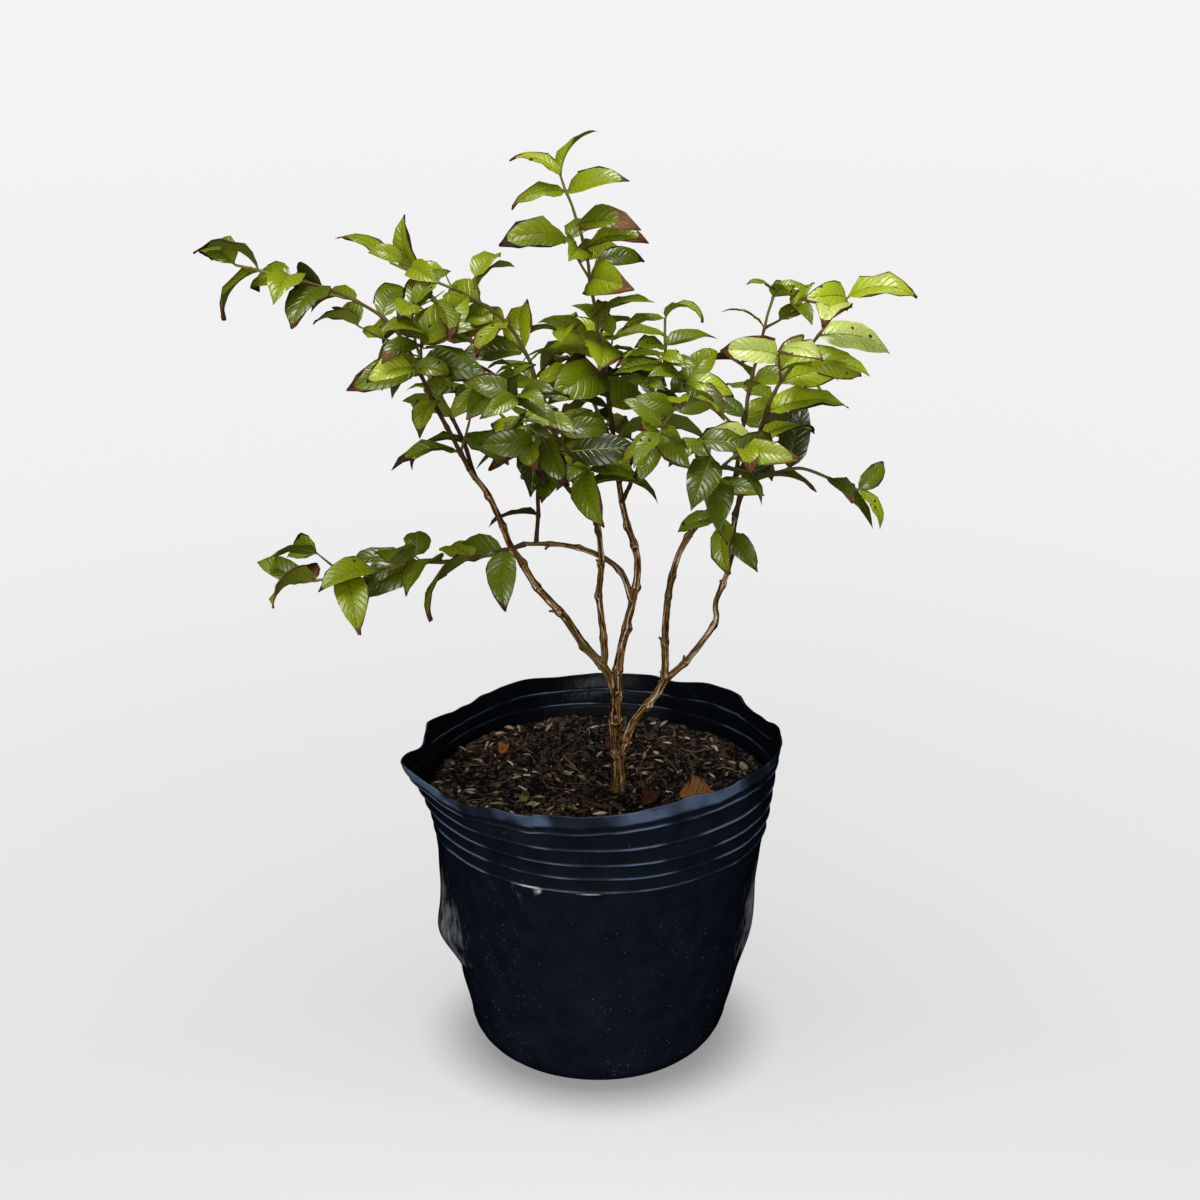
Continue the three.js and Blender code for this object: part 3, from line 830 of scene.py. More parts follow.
LIMBS = (
    LimbPlan("trunk", (4.9, 4.3), ((15, -8, 228.3), (15, -8, 255), (12.5, -8, 287), (14, -8, 318))),
    LimbPlan("bough_left", (3.7, 2.0), (
        (14, -8, 311), (0, -12, 343), (-30, -18, 386), (-67, -28, 443), (-77, -32, 474), (-101, -38, 518))),
    LimbPlan("bough_leader", (3.9, 2.1), (
        (14, -8, 311), (15, -3, 341), (25, 2, 386), (30, 2, 428), (19, 2, 465), (14, 2, 502))),
    LimbPlan("bough_middle", (3.0, 2.0), (
        (2, -11.5, 338), (3, -14, 377), (-2, -14, 407), (2, -16, 436), (-2, -18, 463), (-15, -20, 487))),
    LimbPlan("bough_low_left", (2.5, 1.7), (
        (26, 2, 391), (16, 11, 413), (-5, 17, 427), (-30, 21, 432), (-60, 26, 431))),
    LimbPlan("bough_right", (3.6, 1.9), (
        (15, -8, 250), (27, -12, 291), (51, -14, 328), (52, -14, 379), (62, -14, 438), (90, -14, 481),
        (111, -14, 510))),
    LimbPlan("bough_right_outer", (2.7, 1.8), (
        (49, -14, 325), (73, -2, 346), (93, 8, 369), (93, 12, 388), (105, 17, 420), (107, 20, 458))),
)


@dataclass
class Limb:
    """One limb with bark relief.

    Attributes:
        plan: Its knots and radii.
        steps: Steps of a span in the solids.
        flare: Reach and extra radius of the root flare of the trunk.
        collar: Reach and extra radius where a bough leaves its parent.
        sides: Points round a ring of the bark.
        pitch: Distance between two rings of the bark.
        joint: Distance between two swollen joints.
    """

    plan: LimbPlan
    steps: int = 3
    flare: Span = (16, 2.6)
    collar: Span = (7, 0.9)
    sides: int = 22
    pitch: float = 1.3
    joint: float = 31.0

    def __post_init__(self) -> None:
        """Work out the path and radii that the solid has."""
        self.path = curve_through(np.array(self.plan.knots, float), self.steps)
        self.miles = miles_of(self.path)
        self.radii = self.girth(self.miles)
        self.seed = sum(map(ord, self.plan.name))

    def girth(self, miles: Array) -> Array:
        """Work out the plain radius: an even taper, with the trunk's flare.

        Args:
            miles: Distances along the limb.

        Returns:
            The radius at each.
        """
        foot, tip = self.plan.radius
        plain = foot + (tip - foot) * miles / self.miles[-1]
        if self.plan.name == "trunk":
            plain = plain + self.flare[1] * np.exp(-miles / self.flare[0])
        return plain

    def joints(self) -> Array:
        """Place the swollen joints, at uneven steps.

        Returns:
            Their distances along the limb.
        """
        rng = default_rng(self.seed)
        count = int(self.miles[-1] / self.joint)
        return (np.arange(1, count + 1) + rng.uniform(-0.25, 0.25, count)) * self.joint

    def line(self, miles: Array) -> Array:
        """Work out the middle of the bark: the solid's line, with a slight sideways bow between joints.

        Args:
            miles: Distances along the limb.

        Returns:
            The place at each.
        """
        plain = places_along(self.path, miles)
        even = places_along(curve_through(np.array(self.plan.knots, float), 40), miles)
        ease = np.minimum(miles, miles[-1] - miles) / 12
        zigzag = np.arcsin(0.97 * np.sin(TURN * miles / (2.1 * self.joint) + self.seed))
        bow = 1.3 * np.clip(ease, 0, 1) * zigzag
        side = np.array([math.cos(self.seed), 0.4 * math.sin(self.seed), 0.25])
        return 0.5 * plain + 0.5 * even + bow[:, None] * side

    def bark(self) -> Surface:
        """Work out the bark.

        A ring's radius is the plain one, swollen in a bell at each joint, more on one side, and at the foot,
        times long furrows that wander round the limb, plus a fine roughness and small round pores.

        Returns:
            The closed tube.
        """
        count = int(self.miles[-1] / self.pitch)
        miles = np.linspace(0, self.miles[-1], count)
        angle = bearings(self.sides)
        plain = self.girth(miles)
        rng = default_rng(self.seed + 1)
        beyond = bell(miles[:, None] - self.joints(), 2.4)
        facing = rng.uniform(0, TURN, beyond.shape[1])
        knob = bell(np.angle(np.exp(1j * (angle[:, None] - facing))), 0.9)
        swell = 0.14 * beyond.sum(1)[:, None] + 0.5 * beyond @ knob.T
        if self.plan.name != "trunk":
            plain = plain + self.collar[1] * np.exp(-miles / self.collar[0])
        wander = 0.9 * np.sin(miles / 17 + self.seed)[:, None]
        furrow = np.sin(3 * angle + wander) + 0.7 * np.sin(5 * angle - 1.6 * wander + 1)
        furrow = furrow + 0.5 * np.sin(8 * angle + wander)
        round_place = np.stack(np.broadcast_arrays(
            np.cos(angle) * 5, np.sin(angle) * 5, miles[:, None] * 0.5), -1)
        rough = rolling(round_place, self.seed, 9.0, 4)
        pores = rng.uniform((0, 0), (TURN, self.miles[-1]), (int(self.miles[-1] / 4), 2))
        off = np.angle(np.exp(1j * (angle[:, None] - pores[:, 0])))
        pore = np.einsum("mp,ap->ma", bell(miles[:, None] - pores[:, 1], 0.9), bell(off, 0.22))
        relief = plain[:, None] * (1 + swell + 0.035 * furrow + 0.06 * rough) + 0.22 * pore
        return tubes(self.line(miles)[None], relief[None], self.sides)

    def spurs(self) -> list[Pair]:
        """Set short dead spurs at some of the joints.

        Returns:
            For each, a path of four points and its radii.
        """
        rng = default_rng(self.seed + 2)
        found = []
        for mile in self.joints():
            place, heading = along_path(self.path, self.miles, mile)
            away = square_to(heading, rng.normal(size=3))
            length = rng.uniform(2.5, 6.0)
            if rng.uniform() < 0.75:
                way = unit(0.75 * away + 0.6 * heading)
                reach = self.girth(np.array([mile]))[0] * 0.5 + np.array([0, 0.45, 0.85, 1]) * length
                found.append((place + reach[:, None] * way, np.array([1.7, 1.35, 1.15, 0.8])))
        return found

    def dress(self, skin: Material) -> None:
        """Make the bark as a piece that stands for the limb's solid."""
        make_piece(self.plan.name + "_bark", self.bark(), [skin], [self.plan.name])


class Mood(Enum):
    """How a spray's leaves are coloured: the shares of deep, mid, olive, golden, fresh, bronze and lime."""

    # Painted shade: darker tints for sprays that stand in the crown's shade
    SHADE = (0.22, 0.30, 0.26, 0.15, 0.06, 0.01, 0.00)
    MIXED = (0.11, 0.24, 0.32, 0.24, 0.08, 0.01, 0.00)
    # Painted sunlight: brighter tints for sprays in the sun
    SUN = (0.03, 0.10, 0.29, 0.38, 0.19, 0.01, 0.00)
    YOUNG = (0.00, 0.00, 0.02, 0.07, 0.34, 0.00, 0.57)
    BRONZE = (0.12, 0.28, 0.28, 0.17, 0.07, 0.08, 0.00)


@dataclass(frozen=True)
class SprayPlan:
    """One mass of the crown: a leafy stem that leaves its bough a few millimetres before the tip.

    Attributes:
        name: The solid that it stands for.
        bough: The limb that carries it.
        before: How far before the bough's tip it leaves.
        seed: Which run of numbers it grows by.
        knots: The line of its stem.
        bare: Length of stem with no leaves.
        step: Distance from pair to pair.
        leaf: Length of a leaf.
        angle: Angle of a leaf to its stem, in degrees.
        spread: The way that the first pair points.
        turn: Turn from pair to pair, in degrees.
        look: The way that the leaves face.
        droop: Share of gravity.
        twigs: Chance of a side twig in a leaf's place.
        twig: Length of a twig.
        reach: How far the mass may stand from its stem.
        mood: How its leaves are coloured.
        size: Length of its leaves, in shares of the solids'.
        lie: Seed of how its leaves are turned.
        fine: Seed of its fine twigs, and the chance of one at a pair.
    """

    name: str
    bough: str
    before: float
    seed: int
    knots: tuple[Vec, ...]
    bare: float
    step: float
    leaf: float
    angle: float
    spread: Vec
    turn: float
    look: Vec
    droop: float
    twigs: float
    twig: float
    reach: float
    mood: Mood
    size: float
    lie: int
    fine: tuple[int, float]


SPRAYS = tuple(
    SprayPlan(*row)
    for row in (
        ("crown_left", "bough_left", 0, 34012,
         ((-121, -42, 560), (-156, -44, 634), (-206, -40, 664), (-276, -36, 682)),
         16, 25, 64, 60, (1, 0.4, 0.1), 32, (-0.3, -0.5, 0.8), 0.2, 0.16, 38, 95,
         Mood.MIXED, 1.06, 139, (34, 0.3)),
        ("crown_left_back", "bough_left", 9, 16023,
         ((-112, 0, 540), (-140, 55, 572), (-152, 110, 584)),
         34, 27, 60, 60, (1, 0, 0), 70, (-0.3, 0.3, 0.9), 0.25, 0.12, 36, 90,
         Mood.MIXED, 1.02, 210, (23, 0.5)),
        ("crown_upper_left", "bough_middle", 0, 2037,
         ((-41, -12, 553), (-57, -10, 602), (-85, -10, 640), (-160, -10, 676)),
         44, 25, 62, 58, (1, 0, 0.6), 24, (-0.2, -0.7, 0.7), 0.12, 0.14, 36, 90,
         Mood.SUN, 1.12, 15, (9, 0.55)),
        ("crown_mid_left", "bough_middle", 14, 2041,
         ((-42, -36, 521), (-66, -50, 556), (-90, -62, 590)),
         28, 23, 62, 62, (1, 0.3, -0.4), 60, (-0.3, -0.7, 0.6), 0.25, 0.14, 36, 90,
         Mood.SHADE, 1.02, 403, (5, 0.85)),
        ("crown_front_left", "bough_middle", 25, 11053,
         ((-14, -52, 522), (-34, -90, 566), (-60, -116, 604)),
         46, 26, 60, 60, (1, 0.3, 0.2), 75, (0, -0.6, 0.8), 0.25, 0.2, 36, 90,
         Mood.SHADE, 1.02, 236, (8, 0.85)),
        ("crown_leader", "bough_leader", 0, 29067,
         ((9, 6, 543), (-1, 10, 606), (-11, 12, 678), (-30, 12, 738)),
         26, 25, 64, 62, (1, 0.25, 0), 20, (0, -0.5, 0.9), 0.1, 0.14, 34, 85,
         Mood.SUN, 1.2, 271, (32, 0.55)),
        ("crown_riser", "bough_leader", 9, 26071,
         ((36, -8, 535), (48, -14, 583), (50, -18, 634)),
         36, 24, 58, 58, (1, 0.4, 0), 50, (0.2, -0.6, 0.8), 0.18, 0.16, 36, 85,
         Mood.MIXED, 1.0, 104, (21, 0.4)),
        ("crown_back", "bough_leader", 17, 23083,
         ((8, 45, 512), (-14, 105, 545), (-30, 160, 562)),
         40, 28, 60, 60, (1, 0, 0), 70, (0, 0.4, 0.9), 0.25, 0.12, 38, 95,
         Mood.MIXED, 1.02, 412, (17, 0.5)),
        ("crown_front_right", "bough_leader", 26, 97,
         ((30, -46, 522), (44, -92, 566), (58, -124, 602)),
         44, 26, 60, 60, (1, 0.3, 0.2), 75, (0.2, -0.6, 0.8), 0.25, 0.2, 38, 95,
         Mood.SHADE, 0.94, 383, (44, 0.2)),
        ("crown_right", "bough_right", 0, 28101,
         ((125, -14, 542), (139, -14, 580), (166, -14, 616), (188, -14, 648)),
         26, 25, 72, 58, (0.8, 0.2, -0.6), 8, (0, -0.9, 0.5), 0.1, 0.05, 34, 95,
         Mood.YOUNG, 1.04, 109, (27, 0.2)),
        ("crown_right_riser", "bough_right", 8, 109,
         ((113, 4, 545), (122, 16, 589), (135, 24, 640)),
         46, 27, 54, 55, (1, 0.3, 0), 60, (0.2, -0.5, 0.8), 0.15, 0.1, 32, 80,
         Mood.SUN, 0.96, 199, (7, 0.1)),
        ("crown_right_inner", "bough_right", 26, 18113,
         ((86, -36, 506), (94, -70, 532), (106, -102, 556)),
         24, 24, 62, 60, (1, 0.2, 0.2), 70, (0.2, -0.7, 0.7), 0.25, 0.14, 34, 85,
         Mood.SHADE, 0.94, 154, (1, 0.0)),
        ("crown_right_back", "bough_right_outer", 9, 16127,
         ((118, 60, 486), (140, 110, 520), (152, 158, 535)),
         34, 29, 60, 60, (1, 0, 0), 70, (0.3, 0.3, 0.9), 0.25, 0.06, 36, 90,
         Mood.MIXED, 1.02, 456, (28, 0.3)),
        ("crown_right_low", "bough_right_outer", 0, 17132,
         ((120, 20, 485), (154, 16, 499), (182, 11, 493), (204, 8, 484)),
         30, 30, 58, 50, (0.2, 0.3, 1), 25, (0.2, -0.7, 0.7), 0.0, 0.1, 30, 75,
         Mood.MIXED, 1.05, 121, (1, 0.0)),
        ("crown_right_front", "bough_right_outer", 18, 23139,
         ((100, -14, 456), (92, -44, 480), (90, -66, 498)),
         34, 24, 58, 62, (1, 0, 0.2), 70, (0.3, -0.8, 0.5), 0.5, 0.05, 34, 90,
         Mood.MIXED, 0.94, 419, (39, 0.0)),
        ("crown_low_left", "bough_low_left", 0, 22150,
         ((-104, 26, 418), (-140, 18, 419), (-196, 6, 414), (-237, 0, 408)),
         18, 25, 64, 58, (0.3, 0.5, 0.8), 40, (-0.3, -0.6, 0.7), 0.15, 0.25, 34, 90,
         Mood.BRONZE, 1.18, 381, (2, 0.3)),
        ("crown_low_back", "bough_low_left", 9, 16157,
         ((-50, 68, 458), (-52, 118, 498), (-56, 160, 520)),
         30, 27, 60, 60, (1, 0, 0), 70, (-0.2, 0.4, 0.9), 0.25, 0.12, 36, 90,
         Mood.MIXED, 1.02, 50, (36, 0.5)),
    )
)


@dataclass(frozen=True)
class GrowthRule:
    """The rule that every spray grows by, and how it is carried on to fine twigs.

    Attributes:
        sway: Turn of a leaf or a pair from its plain angle, in degrees, as a range like the next eight.
        sag: Share of the spray's droop that a leaf has.
        lengths: Length of a leaf, in shares of its shoot's.
        widths: Width of a leaf, in shares of the plain one.
        tilts: Turn of a leaf about its midrib, in degrees.
        curls: Bend of a leaf down to its tip, in radians.
        folds: Fold of its halves, in radians.
        steps: Step from pair to pair, in shares of the plain one.
        twig_lengths: Length of a twig, in shares of the plain one.
        stem_radius: Radius of a stem at foot and tip.
        twig_radius: Radius of a twig at foot and tip.
        twig_angle: Angle of a twig to its shoot, in degrees.
        twig_lift: How much a twig lifts towards its tip.
        twig_bare: Share of a twig with no leaves.
        twig_step: Step of a twig's pairs, as a share of its shoot's.
        branch_share: Share of a stem that may branch.
        young_share: How much shorter the last leaves are.
        tip_angle: Angle of the last pair, in degrees.
        face_tip: How far leaves face the tip of their shoot.
        climb: Share of the stem's climb that a leaf keeps.
        tries: How often a leaf that would touch something is drawn.
        missing: Chance that a leaf has dropped.
        lowest: Lowest height of a leaf's tip.
        slimness: Width of a leaf as a share of its length.
        fine_length: Least and greatest length of a fine twig.
        fine_leaf: Length of a fine twig's leaves, as a share of its shoot's.
        fine_radius: Radius of a fine twig at foot and tip.
        fine_inset: How far inside the spray's reach a fine leaf stays.
        fine_turn: Range of the turn from a pair to its fine twig, in degrees.
        fine_pairs: Where the pairs of a fine twig stand, in shares of its length.
    """

    sway: Span = (-14, 14)
    sag: Span = (0.4, 1.6)
    lengths: Span = (0.74, 1.06)
    widths: Span = (0.88, 1.12)
    tilts: Span = (-36, 36)
    curls: Span = (0.25, 0.95)
    folds: Span = (0.12, 0.42)
    steps: Span = (0.85, 1.15)
    twig_lengths: Span = (0.7, 1.2)
    stem_radius: Span = (1.9, 1.0)
    twig_radius: Span = (1.1, 0.75)
    twig_angle: float = 48
    twig_lift: float = 0.2
    twig_bare: float = 0.45
    twig_step: float = 0.8
    branch_share: float = 0.85
    young_share: float = 0.2
    tip_angle: float = 40
    face_tip: float = 0.35
    climb: float = 0.5
    tries: int = 4
    missing: float = 0.1
    lowest: float = 300
    slimness: float = 0.43
    fine_length: Span = (13, 30)
    fine_leaf: float = 0.76
    fine_radius: Span = (0.8, 0.45)
    fine_inset: float = 6
    fine_turn: Span = (55, 125)
    fine_pairs: Span = (0.6, 1.0)


RULE = GrowthRule()

# Places along a blade in the solids, with half its width in shares of the leaf's width and half its
# thickness in shares of its length
SOLID_BLADE = np.array([[0, 0.018, 0.006], [0.3, 0.49, 0.011], [0.66, 0.37, 0.009], [1, 0, 0]])


@dataclass
class Leaf:
    """One leaf: where it is rooted and how it lies.

    Attributes:
        root: Where it leaves its shoot.
        heading: The way that it runs at first.
        face: The way that its upper side looks, square to the heading.
        length: Length along its midrib.
        width: Greatest width.
        curl: How far it bends down to its tip, in radians.
        fold: How far either half is folded up, in radians.
        young: Share of the way to the tip of its shoot.
        fine: True for a leaf of a fine twig.
    """

    root: Array
    heading: Array
    face: Array
    length: float
    width: float
    curl: float
    fold: float
    young: float
    fine: bool = False

    @property
    def side(self) -> Array:
        """Return the way across the blade."""
        return np.cross(self.face, self.heading)

    def solid_rings(self) -> Array:
        """Work out the leaf of the solids.

        The midrib is an arc that starts along the heading and bends away from the face, and the halves rise
        from it by the fold.

        Returns:
            Its rings, of shape (4, 4, 3).
        """
        share, half, thick = SOLID_BLADE.T[:, :, None]
        bend = self.curl * share
        run = self.length * np.sin(bend) / self.curl
        drop = self.length * (1 - np.cos(bend)) / self.curl
        middle = self.root + self.heading * run - self.face * drop
        up = self.face * np.cos(bend) + self.heading * np.sin(bend)
        wide = self.side * half * self.width
        lift = up * half * self.width * math.tan(self.fold)
        thick = up * thick * self.length
        return np.stack([middle + wide + lift, middle + thick, middle - wide + lift, middle - thick], 1)

    def box(self, rings: Array) -> Array:
        """Lay a box round the leaf, square to the line from root to tip.

        Args:
            rings: Some of its rings.

        Returns:
            The box, as touches reads it.
        """
        points = rings.reshape(-1, 3)
        along = unit(points[-1] - self.root)
        across = square_to(along, self.side)
        axes = np.stack([along, across, np.cross(along, across)])
        reach = points @ axes.T
        low, high = reach.min(0), reach.max(0)
        return np.stack([(low + high) / 2 @ axes, *axes, (high - low) / 2 + GAP])


@dataclass
class Shoot:
    """What a stem or twig passes on to its leaves, named as in the plan of the spray."""

    plan: SprayPlan
    bare: float
    step: float
    leaf: float
    angle: float
    spread: Array
    look: Array


@dataclass(frozen=True)
class Bud:
    """Where a leaf starts.

    Attributes:
        spot: Place and heading of the shoot there.
        away: The way out from the shoot.
        shoot: What the shoot passes on.
        share: Share of the way along the shoot.
    """

    spot: Pair
    away: Array
    shoot: Shoot
    share: float

    def leaf(self, dice: Dice) -> Leaf:
        """Draw a leaf: its heading leaves the shoot at an angle, keeps a share of the climb and droops.

        Args:
            dice: The leaf's own run of numbers.

        Returns:
            The leaf.
        """
        shoot, (place, ahead) = self.shoot, self.spot
        angle = math.radians(shoot.angle + dice.between(*RULE.sway))
        droop = shoot.plan.droop * dice.between(*RULE.sag)
        length = shoot.leaf * dice.between(*RULE.lengths) * (1 - RULE.young_share * self.share**3)
        tilt = math.radians(dice.between(*RULE.tilts))
        curl = dice.between(*RULE.curls)
        fold = dice.between(*RULE.folds)
        width = length * RULE.slimness * dice.between(*RULE.widths)
        heading = swung(ahead, self.away, angle)
        heading[2] = RULE.climb * heading[2] - droop
        heading = unit(heading)
        face = turned(square_to(heading, shoot.look + RULE.face_tip * ahead), heading, tilt)
        return Leaf(place, heading, face, length, width, curl, fold, self.share)


def twig_path(spot: Pair, away: Array, length: float, angle: float) -> Array:
    """Lay a twig: straight out at an angle to its shoot, then lifting towards its tip.

    Args:
        spot: Place and heading of the shoot there.
        away: The way out from the shoot.
        length: Its length.
        angle: Its angle to the shoot, in degrees.

    Returns:
        Its three points.
    """
    heading = swung(spot[1], away, math.radians(angle))
    middle = spot[0] + heading * length / 2
    lifted = unit(heading + np.array([0, 0, RULE.twig_lift]))
    return np.stack([spot[0], middle, middle + lifted * length / 2])


@dataclass
class Spray:
    """One mass of the crown, grown by the rule of the solids and carried on to fine twigs.

    Attributes:
        plan: Its measures.
        bough: The limb that carries it.
        leaves: The leaves that have found room.
        twigs: Path and end radii of each twig.
        spots: Place, heading and outward way of each pair, with its shoot.
    """

    plan: SprayPlan
    bough: Limb
    leaves: list[Leaf] = field(default_factory=list)
    twigs: list[tuple[Array, Span]] = field(default_factory=list)
    spots: list[tuple[Pair, Array, Shoot]] = field(default_factory=list)

    def __post_init__(self) -> None:
        """Lay the stem and the boxes that keep others off it."""
        foot, _ = along_path(self.bough.path, self.bough.miles, self.bough.miles[-1] - self.plan.before)
        self.knots = np.vstack([foot, np.array(self.plan.knots, float)])
        self.path = curve_through(self.knots, 3)
        self.miles = miles_of(self.path)
        self.radii = taper(RULE.stem_radius, self.miles)
        self.boxes = boxes_along(self.path, self.radii)
        self.blades = self.wholes = self.strangers = np.empty((0, 5, 3))

    def heed(self, limbs: Sequence[Limb], others: Sequence["Spray"]) -> None:
        """Take note of what the spray has to keep clear of.

        Args:
            limbs: The limbs.
            others: The other sprays.
        """
        around = [boxes_along(limb.path, limb.radii) for limb in limbs]
        around += [box for other in others for box in (other.boxes, other.wholes)]
        self.strangers = np.concatenate(around)

    def has_room(self, boxes: Array) -> bool:
        """Tell whether the boxes of a twig meet nothing outside the spray and no blade of its own."""
        return not any(touches(box, self.strangers) or touches(box, self.blades) for box in boxes)

    def grow(self) -> None:
        """Grow twigs and leaves by the rule of the solids."""
        plan = self.plan
        shoot = Shoot(plan, plan.bare, plan.step, plan.leaf, plan.angle,
                      np.array(plan.spread, float), np.array(plan.look, float))
        self.leaf_out(self.path, self.miles, shoot, Dice(plan.seed), True)

    def leaf_out(self, path: Array, miles: Array, shoot: Shoot, dice: Dice, may_branch: bool) -> None:
        """Set leaf pairs from the end of the bare length to the tip, some with a twig in a leaf's place.

        Args:
            path: The shoot's line.
            miles: Distance along it.
            shoot: What it passes on.
            dice: The run of numbers that it grows by.
            may_branch: True for a stem.
        """
        plan, length = shoot.plan, miles[-1]
        pair, along = 0, shoot.bare
        while along < length:
            spot = along_path(path, miles, along)
            turn = math.radians(plan.turn * pair + dice.between(*RULE.sway))
            outward = turned(square_to(spot[1], shoot.spread), spot[1], turn)
            self.spots.append((spot, outward, shoot))
            for away in (outward, -outward):
                branches = dice.roll() < plan.twigs
                missing = dice.roll() < RULE.missing
                twig_length = plan.twig * dice.between(*RULE.twig_lengths)
                seed = dice.seed()
                if may_branch and branches and along < RULE.branch_share * length:
                    self.add_twig(twig_path(spot, away, twig_length, RULE.twig_angle), shoot, seed)
                elif not missing:
                    self.add_leaf(Bud(spot, away, shoot, along / length), Dice(seed))
            along += shoot.step * dice.between(*RULE.steps)
            pair += 1
        tip = along_path(path, miles, length)
        outward = square_to(tip[1], shoot.spread)
        last = replace(shoot, angle=RULE.tip_angle)
        for away in (outward, -outward):
            self.add_leaf(Bud(tip, away, last, 1.0), Dice(dice.seed()))

    def add_twig(self, path: Array, shoot: Shoot, seed: int) -> None:
        """Add a side twig with its leaves, where it finds room.

        Args:
            path: Its three points.
            shoot: What its shoot passes on.
            seed: The start of its run of numbers.
        """
        miles = miles_of(path)
        boxes = boxes_along(path, taper(RULE.twig_radius, miles))
        if not self.has_room(boxes):
            return
        self.boxes = np.concatenate([self.boxes, boxes])
        self.twigs.append((path, RULE.twig_radius))
        twig = replace(shoot, bare=RULE.twig_bare * miles[-1], step=RULE.twig_step * shoot.step,
                       spread=np.cross(path[2] - path[0], UP))
        self.leaf_out(path, miles, twig, Dice(seed), False)

    def add_leaf(self, bud: Bud, dice: Dice, fine: bool = False) -> None:
        """Add a leaf where it finds room. One that would touch something is drawn again a few times.

        Args:
            bud: Where it starts.
            dice: Its own run of numbers.
            fine: True for a leaf of a fine twig, which stays a little inside the spray's reach.
        """
        reach = self.plan.reach - RULE.fine_inset * fine
        for _ in range(RULE.tries):
            leaf = bud.leaf(dice)
            rings = leaf.solid_rings()
            whole, blade = leaf.box(rings), leaf.box(rings[1:])
            tip = rings[-1, 0]
            if tip[2] < RULE.lowest or self.distance(tip) > reach or touches(whole, self.strangers):
                continue
            if not touches(blade, np.concatenate([self.boxes, self.blades])):
                self.blades = np.concatenate([self.blades, blade[None]])
                self.wholes = np.concatenate([self.wholes, whole[None]])
                leaf.fine = fine
                self.leaves.append(leaf)
                return

    def distance(self, point: Array) -> float:
        """Measure how far a point is from the stem.

        Args:
            point: The point.

        Returns:
            The distance.
        """
        start, step = self.path[:-1], np.diff(self.path, axis=0)
        share = np.clip(np.sum((point - start) * step, 1) / np.sum(step * step, 1), 0, 1)
        return float(np.linalg.norm(start + share[:, None] * step - point, axis=1).min())

    def grow_fine(self) -> None:
        """Carry the rule on: fine twigs stand between the leaves of a pair and bear a few small leaves."""
        dice = Dice(self.plan.seed + self.plan.fine[0])
        for spot, outward, shoot in list(self.spots):
            turn = math.radians(dice.between(*RULE.fine_turn) + 180 * (dice.roll() < 0.5))
            length = dice.between(*RULE.fine_length)
            wanted, seed = dice.roll() < self.plan.fine[1], dice.seed()
            path = twig_path(spot, turned(outward, spot[1], turn), length, RULE.twig_angle)
            miles = miles_of(path)
            boxes = boxes_along(path, taper(RULE.fine_radius, miles))
            if wanted and self.has_room(boxes):
                before = len(self.leaves)
                spread = np.cross(path[2] - path[0], UP)
                small = replace(shoot, leaf=RULE.fine_leaf * shoot.leaf, spread=spread)
                own = Dice(seed)
                for share in RULE.fine_pairs:
                    place = along_path(path, miles, share * miles[-1])
                    out = square_to(place[1], spread)
                    for away in (out, -out):
                        self.add_leaf(Bud(place, away, small, share), Dice(own.seed()), True)
                if len(self.leaves) > before:
                    self.boxes = np.concatenate([self.boxes, boxes])
                    self.twigs.append((path, RULE.fine_radius))


GREENS = tuple(
    (LeafSkin("leaf_" + name, upper), LeafSkin("leaf_" + name + "_under", under, (0.5, 0.62)))
    for name, upper, under in (
        ("deep", (0.033, 0.050, 0.001), (0.044, 0.055, 0.002)),
        ("mid", (0.100, 0.139, 0.001), (0.100, 0.122, 0.004)),
        ("olive", (0.173, 0.226, 0.002), (0.155, 0.186, 0.006)),
        ("golden", (0.272, 0.340, 0.003), (0.236, 0.276, 0.011)),
        ("fresh", (0.430, 0.532, 0.014), (0.365, 0.432, 0.028)),
        ("bronze", (0.135, 0.055, 0.009), (0.120, 0.070, 0.018)),
        ("lime", (0.650, 0.750, 0.180), (0.520, 0.600, 0.140)),
    )
)
SCORCHES = (
    LeafSkin("scorch_brown", (0.115, 0.039, 0.011), (0.42, 0.58), gloss=0.3),
    LeafSkin("scorch_dark", (0.045, 0.017, 0.007), (0.5, 0.62), gloss=0.3),
    LeafSkin("scorch_tan", (0.200, 0.088, 0.027), (0.45, 0.6), gloss=0.3),
)
RIBS = (
    PlainSkin("rib_green", (0.16, 0.17, 0.03), 0.5),
    PlainSkin("rib_fresh", (0.34, 0.33, 0.07), 0.5),
)
TWIGS = (
    PlainSkin("twig_brown", (0.075, 0.042, 0.014), 0.5, 600.0, 0.0006),
    PlainSkin("twig_olive", (0.15, 0.105, 0.028), 0.48, 600.0, 0.0005),
    PlainSkin("twig_young", (0.27, 0.24, 0.05), 0.45, 600.0, 0.0004),
)


